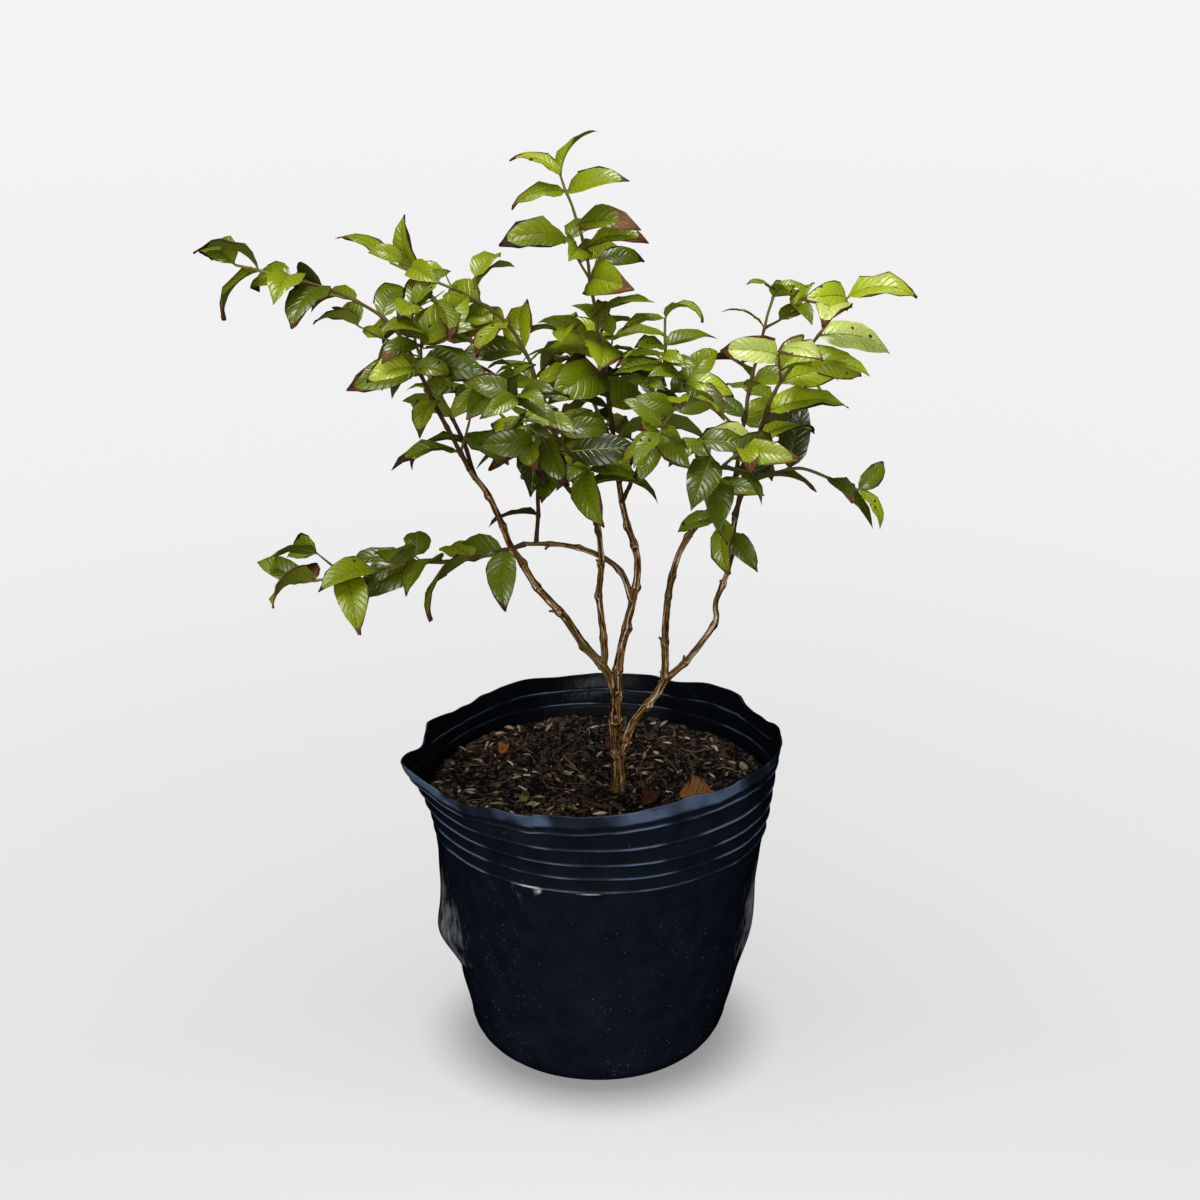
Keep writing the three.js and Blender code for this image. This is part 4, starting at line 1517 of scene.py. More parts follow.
@dataclass
class LaidLeaves:
    """The leaves of one spray as arrays, each a little turned, reared up at its root and bent down more.

    Places and ways have the shape (leaves, 1, 1, 3), young and fine (leaves,) and the rest (leaves, 1, 1).
    The names are as in Leaf, and hook is an extra bend near the tip, in radians.
    """

    root: Array
    heading: Array
    face: Array
    side: Array
    length: Array
    width: Array
    curl: Array
    hook: Array
    fold: Array
    young: Array
    fine: Array

    @classmethod
    def of(cls, leaves: Sequence[Leaf], plan: SprayPlan, rear: float, lay: float) -> "LaidLeaves":
        """Return the arrays of some leaves, each laid flatter, turned sideways, reared up and rolled.

        Args:
            leaves: The leaves.
            plan: The plan of their spray, with the seed that turns them.
            rear: How far a blade rears up at its root, in radians.
            lay: How far a blade's face turns to the sky.

        Returns:
            The leaves as arrays.
        """
        root, heading, face = (np.stack([getattr(leaf, key) for leaf in leaves])[:, None, None]
                               for key in ("root", "heading", "face"))
        face = square_to(heading, face + np.array([0, 0, lay]))
        side = np.cross(face, heading)
        length, width, curl, fold = (np.array([getattr(leaf, key) for leaf in leaves])[:, None, None]
                                     for key in ("length", "width", "curl", "fold"))
        length, width = plan.size * length, plan.size * width
        young = np.array([leaf.young for leaf in leaves])
        drawn = np.clip(default_rng(plan.lie).normal(size=(len(leaves), 4)), -1.8, 1.8)
        yaw, pitch, roll, hook = np.moveaxis(drawn, 1, 0)[..., None, None, None]
        yaw, roll = 0.3 * yaw, 0.36 * roll
        pitch = rear * (1 + young**4)[:, None, None, None] + 0.16 * pitch
        heading, side = turned_pair(heading, side, yaw)
        heading, face = turned_pair(heading, face, pitch)
        face, side = turned_pair(face, side, roll)
        curl = 0.9 * curl + 1.3 * np.maximum(pitch[..., 0], 0.1)
        hook = 0.3 * np.abs(hook[..., 0])
        fine = np.array([leaf.fine for leaf in leaves])
        return cls(root, heading, face, side, length, width, curl, hook, fold, young, fine)

    def midrib(self, v: Array) -> Array:
        """Return points of the midribs: sums of small steps, by the cosine of the slope ahead and by its
        sine away from the face.

        Args:
            v: Places along the leaves, of shape (leaves, rows, columns).

        Returns:
            The points, of shape (leaves, rows, columns, 3).
        """
        steps = 32
        step = np.linspace(0, 1, steps + 1)
        slope = self.curl[:, 0] * step + self.hook[:, 0] * step**3
        place = np.clip(v, 0, 1).reshape(len(v), -1) * steps
        low = np.minimum(place.astype(int), steps - 1)
        found = []
        for rate in (np.cos(slope), np.sin(slope)):
            total = np.cumsum(np.pad((rate[:, 1:] + rate[:, :-1]) / (2 * steps), ((0, 0), (1, 0))), axis=1)
            first, after = np.take_along_axis(total, low, 1), np.take_along_axis(total, low + 1, 1)
            found.append((first + (after - first) * (place - low)).reshape(*v.shape, 1))
        return self.root + self.length[..., None] * (self.heading * found[0] - self.face * found[1])


@dataclass
class Crown:
    """All sprays of the shrub, and how their leaves, midribs and twigs are made.

    Attributes:
        limbs: The limbs that carry the sprays.
        rows: Places along a blade.
        shift: How far the margin runs back from each row, where the tip is scorched.
        tip: Number of the row at which the scorched part begins.
        columns: Places across the blade: upper side from one margin to the other, then the under side.
        outline: Places along a blade and its half width there, as a share of the greatest.
        thick: Half thickness of a blade, in shares of its length.
        rear: How far a blade rears up at its root, in radians, before it bends down.
        lay: How far a blade's face turns to the sky.
        scorched: Chance of a scorched tip, for a leaf by the solids' rule and for one on a fine twig.
        seared: Chance that a margin of a leaf with a scorched tip is scorched too.
        spotted: Chance that a leaf has spots.
    """

    limbs: Sequence[Limb]
    rows: tuple[float, ...] = (0, 0.035, 0.1, 0.2, 0.34, 0.5, 0.66, 0.79, 0.9, 1)
    shift: tuple[float, ...] = (0, 0, 0, 0, 0.07, 0.22, 0.57, 1, 0.75, 0)
    tip: int = 7
    columns: tuple[float, ...] = (1, 0.55, 0, -0.55, -1, 0)
    outline: Table = (
        (0, 0.035), (0.03, 0.06), (0.06, 0.28), (0.11, 0.58), (0.18, 0.83), (0.27, 0.97), (0.37, 1),
        (0.47, 0.99), (0.57, 0.92), (0.67, 0.79), (0.76, 0.61), (0.83, 0.43), (0.89, 0.26), (0.94, 0.13),
        (1, 0.02))
    thick: float = 0.0035
    rear: float = 0.3
    lay: float = 0.5
    scorched: Span = (0.8, 0.35)
    seared: float = 0.62
    spotted: float = 0.35

    def __post_init__(self) -> None:
        """Grow every spray, first by the rule of the solids and then on to fine twigs."""
        by_name = {limb.plan.name: limb for limb in self.limbs}
        self.sprays = [Spray(plan, by_name[plan.bough]) for plan in SPRAYS]
        for fine in (False, True):
            for spray in self.sprays:
                spray.heed(self.limbs, [other for other in self.sprays if other is not spray])
                (spray.grow_fine if fine else spray.grow)()
        fine = [leaf.fine for spray in self.sprays for leaf in spray.leaves]
        LOG.info("%d leaves by the solids' rule, %d on fine twigs", fine.count(False), fine.count(True))

    def blades(self, spray: Spray) -> tuple[Surface, Surface]:
        """Work out the leaf blades of a spray, and their midribs.

        A blade is a grid of rows along the leaf and columns across it. The slope of its midrib is the curl
        times the place along it, plus a hook times the cube of that place. Either half rises from the
        midrib by the fold, turns down again by the cube of the place across, and waves with the square of
        it; and the blade is twisted evenly along its length. Its skins are the upper green, the under green
        and the scorched brown, dealt out leaf by leaf.

        Args:
            spray: The spray whose leaves are made.

        Returns:
            Blades with their margins, and midribs, each as joined shells.
        """
        rng = default_rng(spray.plan.seed)
        laid = LaidLeaves.of(spray.leaves, spray.plan, self.rear, self.lay)
        count = len(spray.leaves)
        burnt = rng.uniform(size=count) < np.where(laid.fine, *self.scorched[::-1])
        scorch = np.where(burnt, rng.uniform(0.03, 0.1, count) + 0.24 * rng.uniform(size=count) ** 5, 0.12)
        rows, shift, u = np.array(self.rows), np.array(self.shift), np.array(self.columns)
        edge, scorch = 1 - scorch[:, None], scorch[:, None]
        green = np.arange(len(rows)) <= self.tip
        v = np.where(green, rows / rows[self.tip] * edge, 1 - (1 - rows) / (1 - rows[self.tip]) * scorch)
        lean = rng.uniform(0.2, 1.0, (count, 1, 1))
        lean = lean * np.where(u > 0, 1.0, rng.uniform(0.1, 1, (count, 1, 1)))
        v = v[:, :, None] - (0.03 + 0.6 * scorch[..., None]) * lean * shift[:, None] * u**2
        slope = laid.curl * v + laid.hook * v**3
        middle = laid.midrib(v)
        up = laid.face * np.cos(slope)[..., None] + laid.heading * np.sin(slope)[..., None]
        across, up = turned_pair(laid.side, up, (rng.normal(0, 0.3, (count, 1, 1)) * v)[..., None])
        half = 0.5 * laid.width * np.interp(v, *np.array(self.outline).T)
        phase = rng.uniform(0, TURN, (count, 1, 2))[:, :, (u < 0).astype(int)]
        waves = rng.uniform(1.6, 3.2, (count, 1, 1))
        wave = rng.uniform(0.06, 0.2, (count, 1, 1)) * np.sin(TURN * waves * v + phase)
        lift = half * (np.abs(u) * (1.4 * np.tan(laid.fold) + 0.1) - 0.3 * np.abs(u) ** 3 + wave * u**2)
        body = np.where(np.arange(6) < 5, 1.0, -1.0) * (1 - u**2) ** 0.5
        lift = lift + self.thick * laid.length * body * np.minimum(half * 6 / laid.width, 1)
        rings = middle + across * (half * u)[..., None] + up * lift[..., None]
        uv = np.stack(np.broadcast_arrays(u, v), -1)
        fold_marks = np.broadcast_to(np.array([1, 0, 3, 0, 2, 4]), rings.shape[:3])
        worn, brown = self.deal(spray, rng, burnt, laid)
        blades = lofted(rings, worn, uv, fold_marks)
        side, leaf = np.nonzero(rng.uniform(size=(2, count)) < self.seared * burnt)
        edges = rings[leaf, 3:, np.array([0, 4])[side]]
        margins = self.margins(edges, laid.length[leaf, :, 0], brown[leaf], spray.plan.seed)
        midribs = self.midribs(laid, rng)
        return joined([blades, margins, self.spots(rings, spray.plan)]), midribs

    def margins(self, edges: Array, length: Array, brown: Array, seed: int) -> Surface:
        """Work out scorched margins: thin beads along the edge, as thick as a noise is strong.

        Args:
            edges: The edges' points, of shape (edges, rows, 3).
            length: Length of the leaf of each.
            brown: The number of its brown.
            seed: Which noise.

        Returns:
            The joined tubes.
        """
        girth = length * 0.022 * np.abs(rolling(edges, seed, 26.0, 3)) + 0.05
        beads = tubes(edges, girth, 3, brown[:, None, None])
        return replace(beads, fold=np.zeros(len(beads.corners)))

    def midribs(self, laid: LaidLeaves, rng: Generator) -> Surface:
        """Work out the midribs with their stalks: thin tubes that taper to the tip, paler on some leaves.

        Args:
            laid: The leaves of a spray.
            rng: Its run of numbers.

        Returns:
            The joined tubes.
        """
        count, places = len(laid.young), np.linspace(0, 0.92, 9)
        paths = laid.midrib(np.broadcast_to(places[:, None], (count, 9, 1)))[:, :, 0]
        radii = laid.length[..., 0] * np.interp(places, (0, 0.06, 0.2, 0.92), (0.014, 0.0115, 0.008, 0.004))
        fresh = (rng.uniform(size=count) + 0.4 * laid.young > 0.9).astype(int)
        return tubes(paths, radii, 4, fresh[:, None, None])

    def spots(self, rings: Array, plan: SprayPlan) -> Surface:
        """Return small dark spots on some blades: flat discs on the upper side, each within one quad.

        Args:
            rings: The blades' points, of shape (leaves, rows, columns, 3).
            plan: The plan of their spray, with the seed that strews the spots.

        Returns:
            The discs as joined shells.
        """
        rng = default_rng(plan.seed + 7)
        often = rng.integers(1, 6, len(rings)) * (rng.uniform(size=len(rings)) < self.spotted)
        leaf = np.repeat(np.arange(len(rings)), often)
        row, column = rng.integers(3, self.tip - 1, len(leaf)), rng.integers(0, 4, len(leaf))
        share = rng.uniform(0.1, 0.9, (2, len(leaf), 1))
        start, end = (
            rings[leaf, at, column] * (1 - share[0]) + rings[leaf, at, column + 1] * share[0]
            for at in (row, row + 1))
        along = unit(end - start)
        up = unit(np.cross(rings[leaf, row, column + 1] - rings[leaf, row, column], along))
        angle = bearings(6)[:, None]
        spoke = along[:, None] * np.cos(angle) + np.cross(up, along)[:, None] * np.sin(angle)
        size = (0.5 + 1.7 * rng.uniform(size=len(leaf)) ** 3)[:, None, None]
        middle = (start * (1 - share[1]) + end * share[1])[:, None]
        low, high = -0.4 * up[:, None], 0.25 * up[:, None]
        discs = np.stack([middle + size * spoke + low, middle + 0.8 * size * spoke + high], 1)
        worn = 2 * len(GREENS) + rng.choice(2, len(leaf))
        blank = np.zeros((*discs.shape[:3], 2))
        return lofted(discs, worn[:, None, None], blank, blank[..., 0])

    def deal(self, spray: Spray, rng: Generator, burnt: Array, laid: LaidLeaves) -> Pair:
        """Deal out the skins of a spray's blades.

        Args:
            spray: The spray.
            rng: Its run of numbers.
            burnt: Which leaves have a scorched tip.
            laid: Its leaves.

        Returns:
            The skin's number of each face, of shape (leaves, rows - 1, columns), and each leaf's brown.
        """
        count, spans = len(burnt), len(self.rows) - 1
        shares = np.cumsum(spray.plan.mood.value)
        pick = np.maximum(rng.uniform(size=count) * 0.82 + 0.18 * laid.young**2, 0.4 * laid.young**6)
        tint = np.minimum(np.searchsorted(shares, np.minimum(pick, 0.999) * shares[-1]), len(shares) - 1)
        lime = (rng.uniform(size=count) < 0.1) & laid.fine & (laid.young > 0.9)
        tint = np.where(lime, len(GREENS) - 1, tint)
        worn = 2 * tint[:, None, None] + np.array([0, 0, 0, 0, 1, 1])
        brown = 2 * len(GREENS) + rng.choice(len(SCORCHES), count, p=(0.55, 0.25, 0.2))
        scorched = burnt[:, None, None] & (np.arange(spans)[:, None] >= self.tip)
        return np.where(scorched, brown[:, None, None], worn), brown

    def wood(self, spray: Spray) -> Surface:
        """Work out the stem and twigs of a spray, swollen in a bell at each leaf pair and at the foot.

        Args:
            spray: The spray.

        Returns:
            The joined tubes.
        """
        fine = curve_through(spray.knots, 60)
        count = int(spray.miles[-1] / 1.6)
        path = resampled(fine, count)
        miles = np.linspace(0, spray.miles[-1], count)
        kink = np.stack([rolling(path, spray.plan.seed + k, 44.0, 2) for k in range(3)], -1)
        path = path + 0.6 * kink * np.clip(np.minimum(miles, miles[-1] - miles) / 15, 0, 1)[:, None]
        places = np.stack([spot[0][0] for spot in spray.spots])
        near = np.linalg.norm(path[:, None] - places, axis=2)
        radius = taper(RULE.stem_radius, miles)
        swell = 1 + 0.3 * bell(near, 1.7).max(1) + 0.35 * np.exp(-miles / 5)
        rough = 1 + 0.06 * rolling(path, spray.plan.seed, 11.0, 3)
        ages = np.where(miles[:-1] < 0.35 * miles[-1], 0, np.where(miles[:-1] < 0.8 * miles[-1], 1, 2))
        stem = tubes(path[None], (radius * swell * rough)[None], 9, ages[None, :, None])
        if not spray.twigs:
            return stem
        steps = np.linspace(0, 1, 9)
        lines = np.stack([curve_through(twig, 4) for twig, _ in spray.twigs])
        ends = np.array([radii for _, radii in spray.twigs])
        slim = ends[:, :1] + (ends[:, 1:] - ends[:, :1]) * steps
        slim = slim * (1 + 0.4 * np.exp(-steps * 9) + 0.2 * bell(steps - 0.6, 0.05))
        ages = np.where(slim[:, :-1, None] > 0.8, 1, 2)
        return joined([stem, tubes(lines, slim, 7, ages)])

    def dress(self) -> None:
        """Make blades, midribs and wood of every spray as pieces that stand for its solid."""
        greens = [skin.make() for pair in GREENS for skin in pair] + [skin.make() for skin in SCORCHES]
        ribs = [skin.make() for skin in RIBS]
        woods = [skin.make() for skin in TWIGS]
        for spray in self.sprays:
            name = spray.plan.name
            blades, midribs = self.blades(spray)
            make_piece(name + "_leaves", blades, greens, [name])
            make_piece(name + "_midribs", midribs, ribs)
            make_piece(name + "_twigs", self.wood(spray), woods)


@dataclass
class Pot:
    """The soft nursery pot.

    Attributes:
        height: Height of the plain lip.
        rim: Outer radius at the lip.
        foot: Outer radius at the foot, if it had no round edge.
        foot_round: Radius of the round edge.
        wall: Thickness of the film.
        rings: How many moulded rings there are.
        first_ring: Distance of the first ring from the lip.
        ring_pitch: Distance from ring to ring.
        ring_proud: How far a ring stands out.
        sides: Points round a ring of the mesh.
        fade: How far down the lip's push reaches.
        level: Height of the mix.
        swells: Place and width in degrees, rise and push of each swell of the lip.
        bulges: Place and width in degrees, height, tallness and push of each bulge of the wall.
        scuffs: Place and width in degrees, height, tallness and strength of each scuffed patch.
        creases: Place, width before and after it in degrees, push, rise and reach down of each crease.
        scratches: Place and width in degrees, height and tallness of each white scratch.
    """

    height: float = 266
    rim: float = 147
    foot: float = 102
    foot_round: float = 33
    wall: float = 1.2
    rings: int = 5
    first_ring: float = 15
    ring_pitch: float = 12.6
    ring_proud: float = 1.1
    sides: int = 270
    fade: float = 62
    level: float = 228
    swells: Table = (
        (-45, 26, 9, -7), (-88, 22, 5, 0), (209, 16, -8, 0), (189, 8, -1, 10), (143, 22, -6, -2),
        (10, 12, 2, 3))
    bulges: Table = (
        (183, 19, 100, 26, 9), (184, 15, 142, 28, 4.5), (185, 12, 104, 11, 4), (184, 13, 78, 9, -4),
        (-3, 17, 104, 26, 4), (-4, 13, 112, 20, 3), (-28, 34, 14, 20, -3.5))
    scuffs: Table = (
        (196, 9, 112, 22, 0.85), (191, 6, 150, 14, 0.7), (-13, 8, 116, 28, 0.9), (-8, 7, 152, 18, 0.75),
        (-119, 9, 193, 7, 0.28))
    creases: Table = (
        (-112, 9, 0.8, -3.0, -3.2, 26), (-126, 4, 4, -2.0, 0.5, 30), (-54, 5, 7, -2.0, -1.5, 34),
        (187, 5, 6, 5.0, -1.0, 34), (176, 4, 4, -5.0, -3.0, 46), (164, 9, 1.8, 1.5, 4.5, 22),
        (37.5, 1.6, 13, 1.0, 4.5, 24), (22, 9, 9, -2.5, -4.0, 24), (62, 5, 5, -2.2, -1.5, 34),
        (118, 5, 4, -2.0, 2.0, 30), (98, 5, 5, 1.0, -2.0, 24))
    scratches: Table = ((-114, 4.5, 200.5, 1.0), (-111, 0.8, 197.5, 2), (-93, 4.0, 199.5, 0.8))

    def radius(self, height: Array) -> Array:
        """Return the plain outer radius at heights."""
        return self.foot + (self.rim - self.foot) * height / self.height

    def pushed(self, radius: Array, height: Array, bearing: Array) -> Array:
        """Return points moved by the swells of the lip and the bulges of the wall, as in the solids but for
        a gentler hollow at the foot.

        A swell lifts and pushes by a bell of the bearing, growing to the lip. A bulge pushes by a bell of
        the bearing times a bell of the height.

        Args:
            radius: Plain radius of each point.
            height: Plain height of each point.
            bearing: Bearing of each point, in radians.

        Returns:
            The points.
        """
        push = smooth(height, self.height - self.fade, self.height)
        rise = smooth(height, self.level, self.height)
        degrees = np.degrees(bearing)
        out, lift = np.zeros_like(radius), np.zeros_like(radius)
        for at, wide, up, outward in self.swells:
            strength = bell(turn_between(degrees, at), wide)
            out += push * strength * outward
            lift += rise * strength * up
        for at, wide, middle, tall, outward in self.bulges:
            out += outward * bell(turn_between(degrees, at), wide) * bell(height - middle, tall)
        moved = radius + out * (radius / self.radius(height)) ** 2
        return np.stack([moved * np.cos(bearing), moved * np.sin(bearing), height + lift], -1)

    def profile(self) -> tuple[Array, Array, Array]:
        """Work out the pot's section.

        It runs from the middle of the underside up the outside, over the lip and down to the inner floor.

        Returns:
            Plain radius, height and place across the film, 1 outside and -1 inside.
        """
        edge = np.linspace(-math.pi / 2, 0, 9)
        middle = self.radius(np.array(self.foot_round)) - self.foot_round
        rings = self.height - self.first_ring - self.ring_pitch * np.arange(self.rings)[::-1, None]
        rows = np.array([-2.4, -1.4, -0.8, -0.4, 0, 0.3, 0.6, 0.9, 1.2, 1.6, 2.4, 3.6, 4.4, 4.9, 5.4, 5.9,
                         7, 8.5])
        plain = np.linspace(self.foot_round, rings[0, 0] - 3.4, 62)[1:]
        wall = np.concatenate([plain, (rings + rows).ravel(), self.height - np.array([5.0, 3.5, 2.2, 1.0])])
        under = np.linspace(2, middle, 6)[:-1]
        up = np.concatenate([under, middle + self.foot_round * np.cos(edge), self.radius(wall)])
        heights = np.concatenate([np.zeros(5), self.foot_round * (1 + np.sin(edge)), wall])
        inset = self.wall
        inner = self.foot_round - inset
        down = np.concatenate([(self.radius(wall) - inset)[::-1], middle + inner * np.cos(edge[::-1]),
                               np.linspace(middle, 2, 6)[1:]])
        low = np.concatenate([wall[::-1], self.foot_round + inner * np.sin(edge[::-1]), np.full(5, inset)])
        lip_radius = np.array([self.rim + 0.2, self.rim - 0.6, self.rim - 1.4])
        lip_height = self.height + np.array([-0.3, 0.1, -0.3])
        side = np.concatenate([np.ones(len(up)), [0.7, 0, -0.7], -np.ones(len(down))])
        return np.concatenate([up, lip_radius, down]), np.concatenate([heights, lip_height, low]), side

    def marks(self, height: Array, degrees: Array, side: Array, places: Array) -> Array:
        """Return the painted sheen and the scuffs of the film: the lip band, a fine line on each ring and,
        faintly, all the outside get a painted sheen, bulges and scratches are scuffed, and inside the ring
        lines are painted highlights.

        Args:
            height: Plain height of each point.
            degrees: Bearing of each point.
            side: 1 outside and -1 inside.
            places: The points.

        Returns:
            Both measures, on the last axis.
        """
        first = self.height - self.first_ring + 0.5
        lines = sum(bell(height - first + k * self.ring_pitch, 0.4) for k in range(self.rings))
        uneven = np.clip(0.62 + 0.85 * rolling(places, 12, 70, 3), 0.12, 1.3)
        # The first measure is a painted sheen: on the lip band, on the ring lines and faintly over all the
        # outside
        band = 1.45 * smooth(height, self.height - 11, self.height - 8) * uneven * (side > 0)
        drawn = np.where(side > 0, 1.25, 2.2) * lines * uneven
        stretched = np.maximum(np.maximum(band, drawn), 0.068 * (side > 0))
        scuffed = np.zeros_like(stretched)
        for at, wide, middle, tall, strength in self.scuffs:
            scuffed += strength * bell(turn_between(degrees, at), wide) * bell(height - middle, tall)
        for at, wide, middle, tall in self.scratches:
            scuffed += 3 * bell(turn_between(degrees, at), wide * 0.7) * bell(height - middle, tall * 0.7)
        # Inside, the second measure paints highlight lines on the rings
        return np.stack([stretched, np.where(side > 0, np.clip(scuffed, 0, 2.5), 0.9 * lines * uneven)], -1)

    def shell(self) -> Surface:
        """Work out the film.

        It is the section turned about the pot's axis, with rings that stand out on both faces, a folded band
        and creases at the lip, and a slow waviness of soft film.

        Returns:
            The closed shell.
        """
        section = [part[:, None] for part in self.profile()]
        radius, height, side, bearing = np.broadcast_arrays(*section, bearings(self.sides))
        places = np.stack([radius * np.cos(bearing), radius * np.sin(bearing), height], -1)
        degrees = np.degrees(bearing)
        first = self.height - self.first_ring
        ring = sum(bell(height - first + k * self.ring_pitch, 0.7) for k in range(self.rings))
        high = smooth(height, self.foot_round, 60)
        lip = smooth(height, self.height - 18, self.height - 2)
        folded = smooth(height, self.height - 10.5, self.height - 9.3) * (side > 0)
        out = self.ring_proud * ring + 0.9 * folded + 0.9 * rolling(places, 5, 120, 3) * high
        out = out + 0.6 * rolling(places, 6, 46, 2) * lip
        rise = 1.3 * rolling(places, 9, 75, 3) * smooth(height, self.height - 30, self.height)
        for at, before, after, push, up, drop in self.creases:
            turn = -turn_between(degrees, at)
            near = bell(turn, np.where(turn < 0, before, after))
            near = near * smooth(height, self.height - drop, self.height)
            out = out + push * near
            rise = rise + up * near
        points = self.pushed(radius, height, bearing)
        outer = (radius > 60) * (height > 1.5)
        move = np.stack([np.cos(bearing) * out, np.sin(bearing) * out, rise], -1) * outer[..., None]
        return lofted((points + move)[None], uv=self.marks(height, degrees, side, places)[None])

    def dress(self, skin: Material) -> None:
        """Make the film as a piece that stands for the pot."""
        make_piece("pot_film", self.shell(), [skin], ["pot"])


LITTER = (
    PlainSkin("husk_tan", (0.38, 0.29, 0.170), 0.6, 1200.0, 0.0004),
    PlainSkin("husk_pale", (0.64, 0.54, 0.37), 0.6, 1200.0, 0.0004),
    PlainSkin("husk_brown", (0.085, 0.050, 0.024), 0.65, 1200.0, 0.0004),
    PlainSkin("fibre_brown", (0.14, 0.070, 0.026), 0.6),
    PlainSkin("fibre_tan", (0.31, 0.20, 0.095), 0.6),
    PlainSkin("crumb_black", (0.0070, 0.0056, 0.0048), 0.85, 700.0, 0.0012),
    PlainSkin("crumb_brown", (0.080, 0.057, 0.043), 0.8, 700.0, 0.0012),
    LeafSkin("fallen_rust", (0.36, 0.150, 0.038), (0.42, 0.6), 7.0, 0.0014, 0.3),
    LeafSkin("fallen_brown", (0.075, 0.026, 0.009), (0.42, 0.6), 7.0, 0.0014, 0.3),
    LeafSkin("fallen_lime", (0.26, 0.24, 0.045), (0.4, 0.5), 7.0, 0.001, 0.5),
)


class Litter(Enum):
    """Kinds of loose bits on the mix, with the numbers of the skins that they wear."""

    HUSKS = (0, 1, 2)
    FIBRES = (3, 4)
    CRUMBS = (5, 6, 2, 8, 0)


@dataclass
class PottingMix:
    """The mix that fills the pot, and what lies loose on it.

    Attributes:
        pot: The pot that holds it.
        flat: Radius of the level patch round the trunk.
        roll: Height of the gentle roll outside it.
        crumbs: How many crumbs are pressed into the surface.
        husks: How many husks lie loose.
        fibres: How many fibres lie loose.
        clods: How many crumbs lie loose.
        trunk: Where the trunk stands.
    """

    pot: Pot
    flat: float = 48
    roll: float = 3
    crumbs: int = 2600
    husks: int = 420
    fibres: int = 170
    clods: int = 1500
    trunk: tuple[float, float] = (15, -8)

    @property
    def edge(self) -> float:
        """Return the radius of the mix at its surface."""
        return float(self.pot.radius(np.array(self.pot.level))) - self.pot.wall - GAP

    def top(self, places: Array) -> Array:
        """Return the height of the surface: the solid's roll of three waves, sunk and raised by a slow
        noise, the greatest of many round crumbs, each a cap of a ball, and a low mound round the trunk.

        Args:
            places: Points of shape (n, 2).

        Returns:
            Heights.
        """
        radius, bearing = np.hypot(*places.T), np.arctan2(places[:, 1], places[:, 0])
        share = np.clip((radius - self.flat) / (self.edge - self.flat), 0, 1)
        slow = self.roll * np.sin(math.pi * share) * np.sin(3 * bearing + 0.7)
        rng = default_rng(31)
        far = self.edge * np.sqrt(rng.uniform(size=self.crumbs))
        where = rng.uniform(0, TURN, self.crumbs)
        size = rng.uniform(1.6, 4.6, self.crumbs)
        sunk = rng.uniform(0.3, 0.9, self.crumbs) * size
        height = np.full(len(places), -2.0)
        centres = np.stack([far * np.cos(where), far * np.sin(where)], -1)
        for block in np.array_split(np.arange(self.crumbs), 26):
            gap = np.sum((places[:, None] - centres[block]) ** 2, -1)
            cap = np.sqrt(np.maximum(size[block] ** 2 - gap, 0)) - sunk[block]
            height = np.maximum(height, np.where(gap < size[block] ** 2, cap, -2.0).max(1))
        gap = np.linalg.norm(places - np.array(self.trunk), axis=1)
        near = smooth(gap, 3, 12)
        rough = near * (height + 0.9 * rolling(places, 8, 60, 3))
        return self.pot.level + slow + rough + 2.4 * bell(gap, 9) - 0.2

    def body(self) -> Surface:
        """Work out the mix: rings down the skirt inside the pot, and rings over the crumbly surface.

        Returns:
            The closed shell.
        """
        sides, inset = 240, self.pot.wall + 2 * GAP
        bearing = bearings(sides)
        depth = np.array([32.0, 60, 120, 180, 215, 224])
        skirt = self.pot.pushed(*np.broadcast_arrays((self.pot.radius(depth) - inset - 0.6)[:, None],
                                                     depth[:, None], bearing))
        far = np.linspace(self.edge - 0.4, 1.2, 112)
        plain = self.pot.pushed(*np.broadcast_arrays(far[:, None], np.float64(self.pot.level), bearing))
        plain[..., 2] = self.top(plain[..., :2].reshape(-1, 2)).reshape(plain.shape[:2])
        return lofted(np.concatenate([skirt, plain])[None])

    def strewn(self, count: int, seed: int) -> tuple[Array, Generator]:
        """Strew places over the surface, clear of wall and trunk.

        Args:
            count: How many.
            seed: Which run.

        Returns:
            The places, and the run that they came from.
        """
        rng = default_rng(seed)
        far = (self.edge - 5) * np.sqrt(rng.uniform(0.0, 1.0, 3 * count))
        where = rng.uniform(0, TURN, 3 * count)
        flat = np.stack([far * np.cos(where), far * np.sin(where)], -1)
        flat = flat[np.linalg.norm(flat - np.array(self.trunk), axis=1) > 8][:count]
        return np.concatenate([flat, self.top(flat)[:, None]], 1), rng

    def husk_shells(self) -> Surface:
        """Strew rice husks: slim boats whose half width and height follow a sine along them.

        Returns:
            The joined shells.
        """
        places, rng = self.strewn(self.husks, 41)
        count = len(places)
        along = unit(rng.normal(size=(count, 3)) * np.array([1, 1, 0.28]))
        across = square_to(along, UP + 0.4 * rng.normal(size=(count, 3)))
        over = np.cross(along, across)
        length = 5 + 9 * rng.uniform(size=(count, 1, 1)) ** 1.7
        rows = np.linspace(0.02, 0.98, 6)[:, None]
        girth = np.sin(math.pi * rows) * length * rng.uniform(0.1, 0.16, (count, 1, 1))
        angle = bearings(6)[:, None]
        bow = 0.06 * length * (1 - (2 * rows - 1) ** 2)
        centre = places[:, None] + along[:, None] * ((rows - 0.5) * length)
        centre = centre + across[:, None] * bow + np.array([0, 0, 0.5])
        ring = across[:, None, None] * 0.55 * np.cos(angle) + over[:, None, None] * np.sin(angle)
        rings = centre[:, :, None] + girth[..., None] * ring
        worn = rng.choice(Litter.HUSKS.value, count, p=(0.42, 0.26, 0.32))
        return lofted(rings, worn[:, None, None])

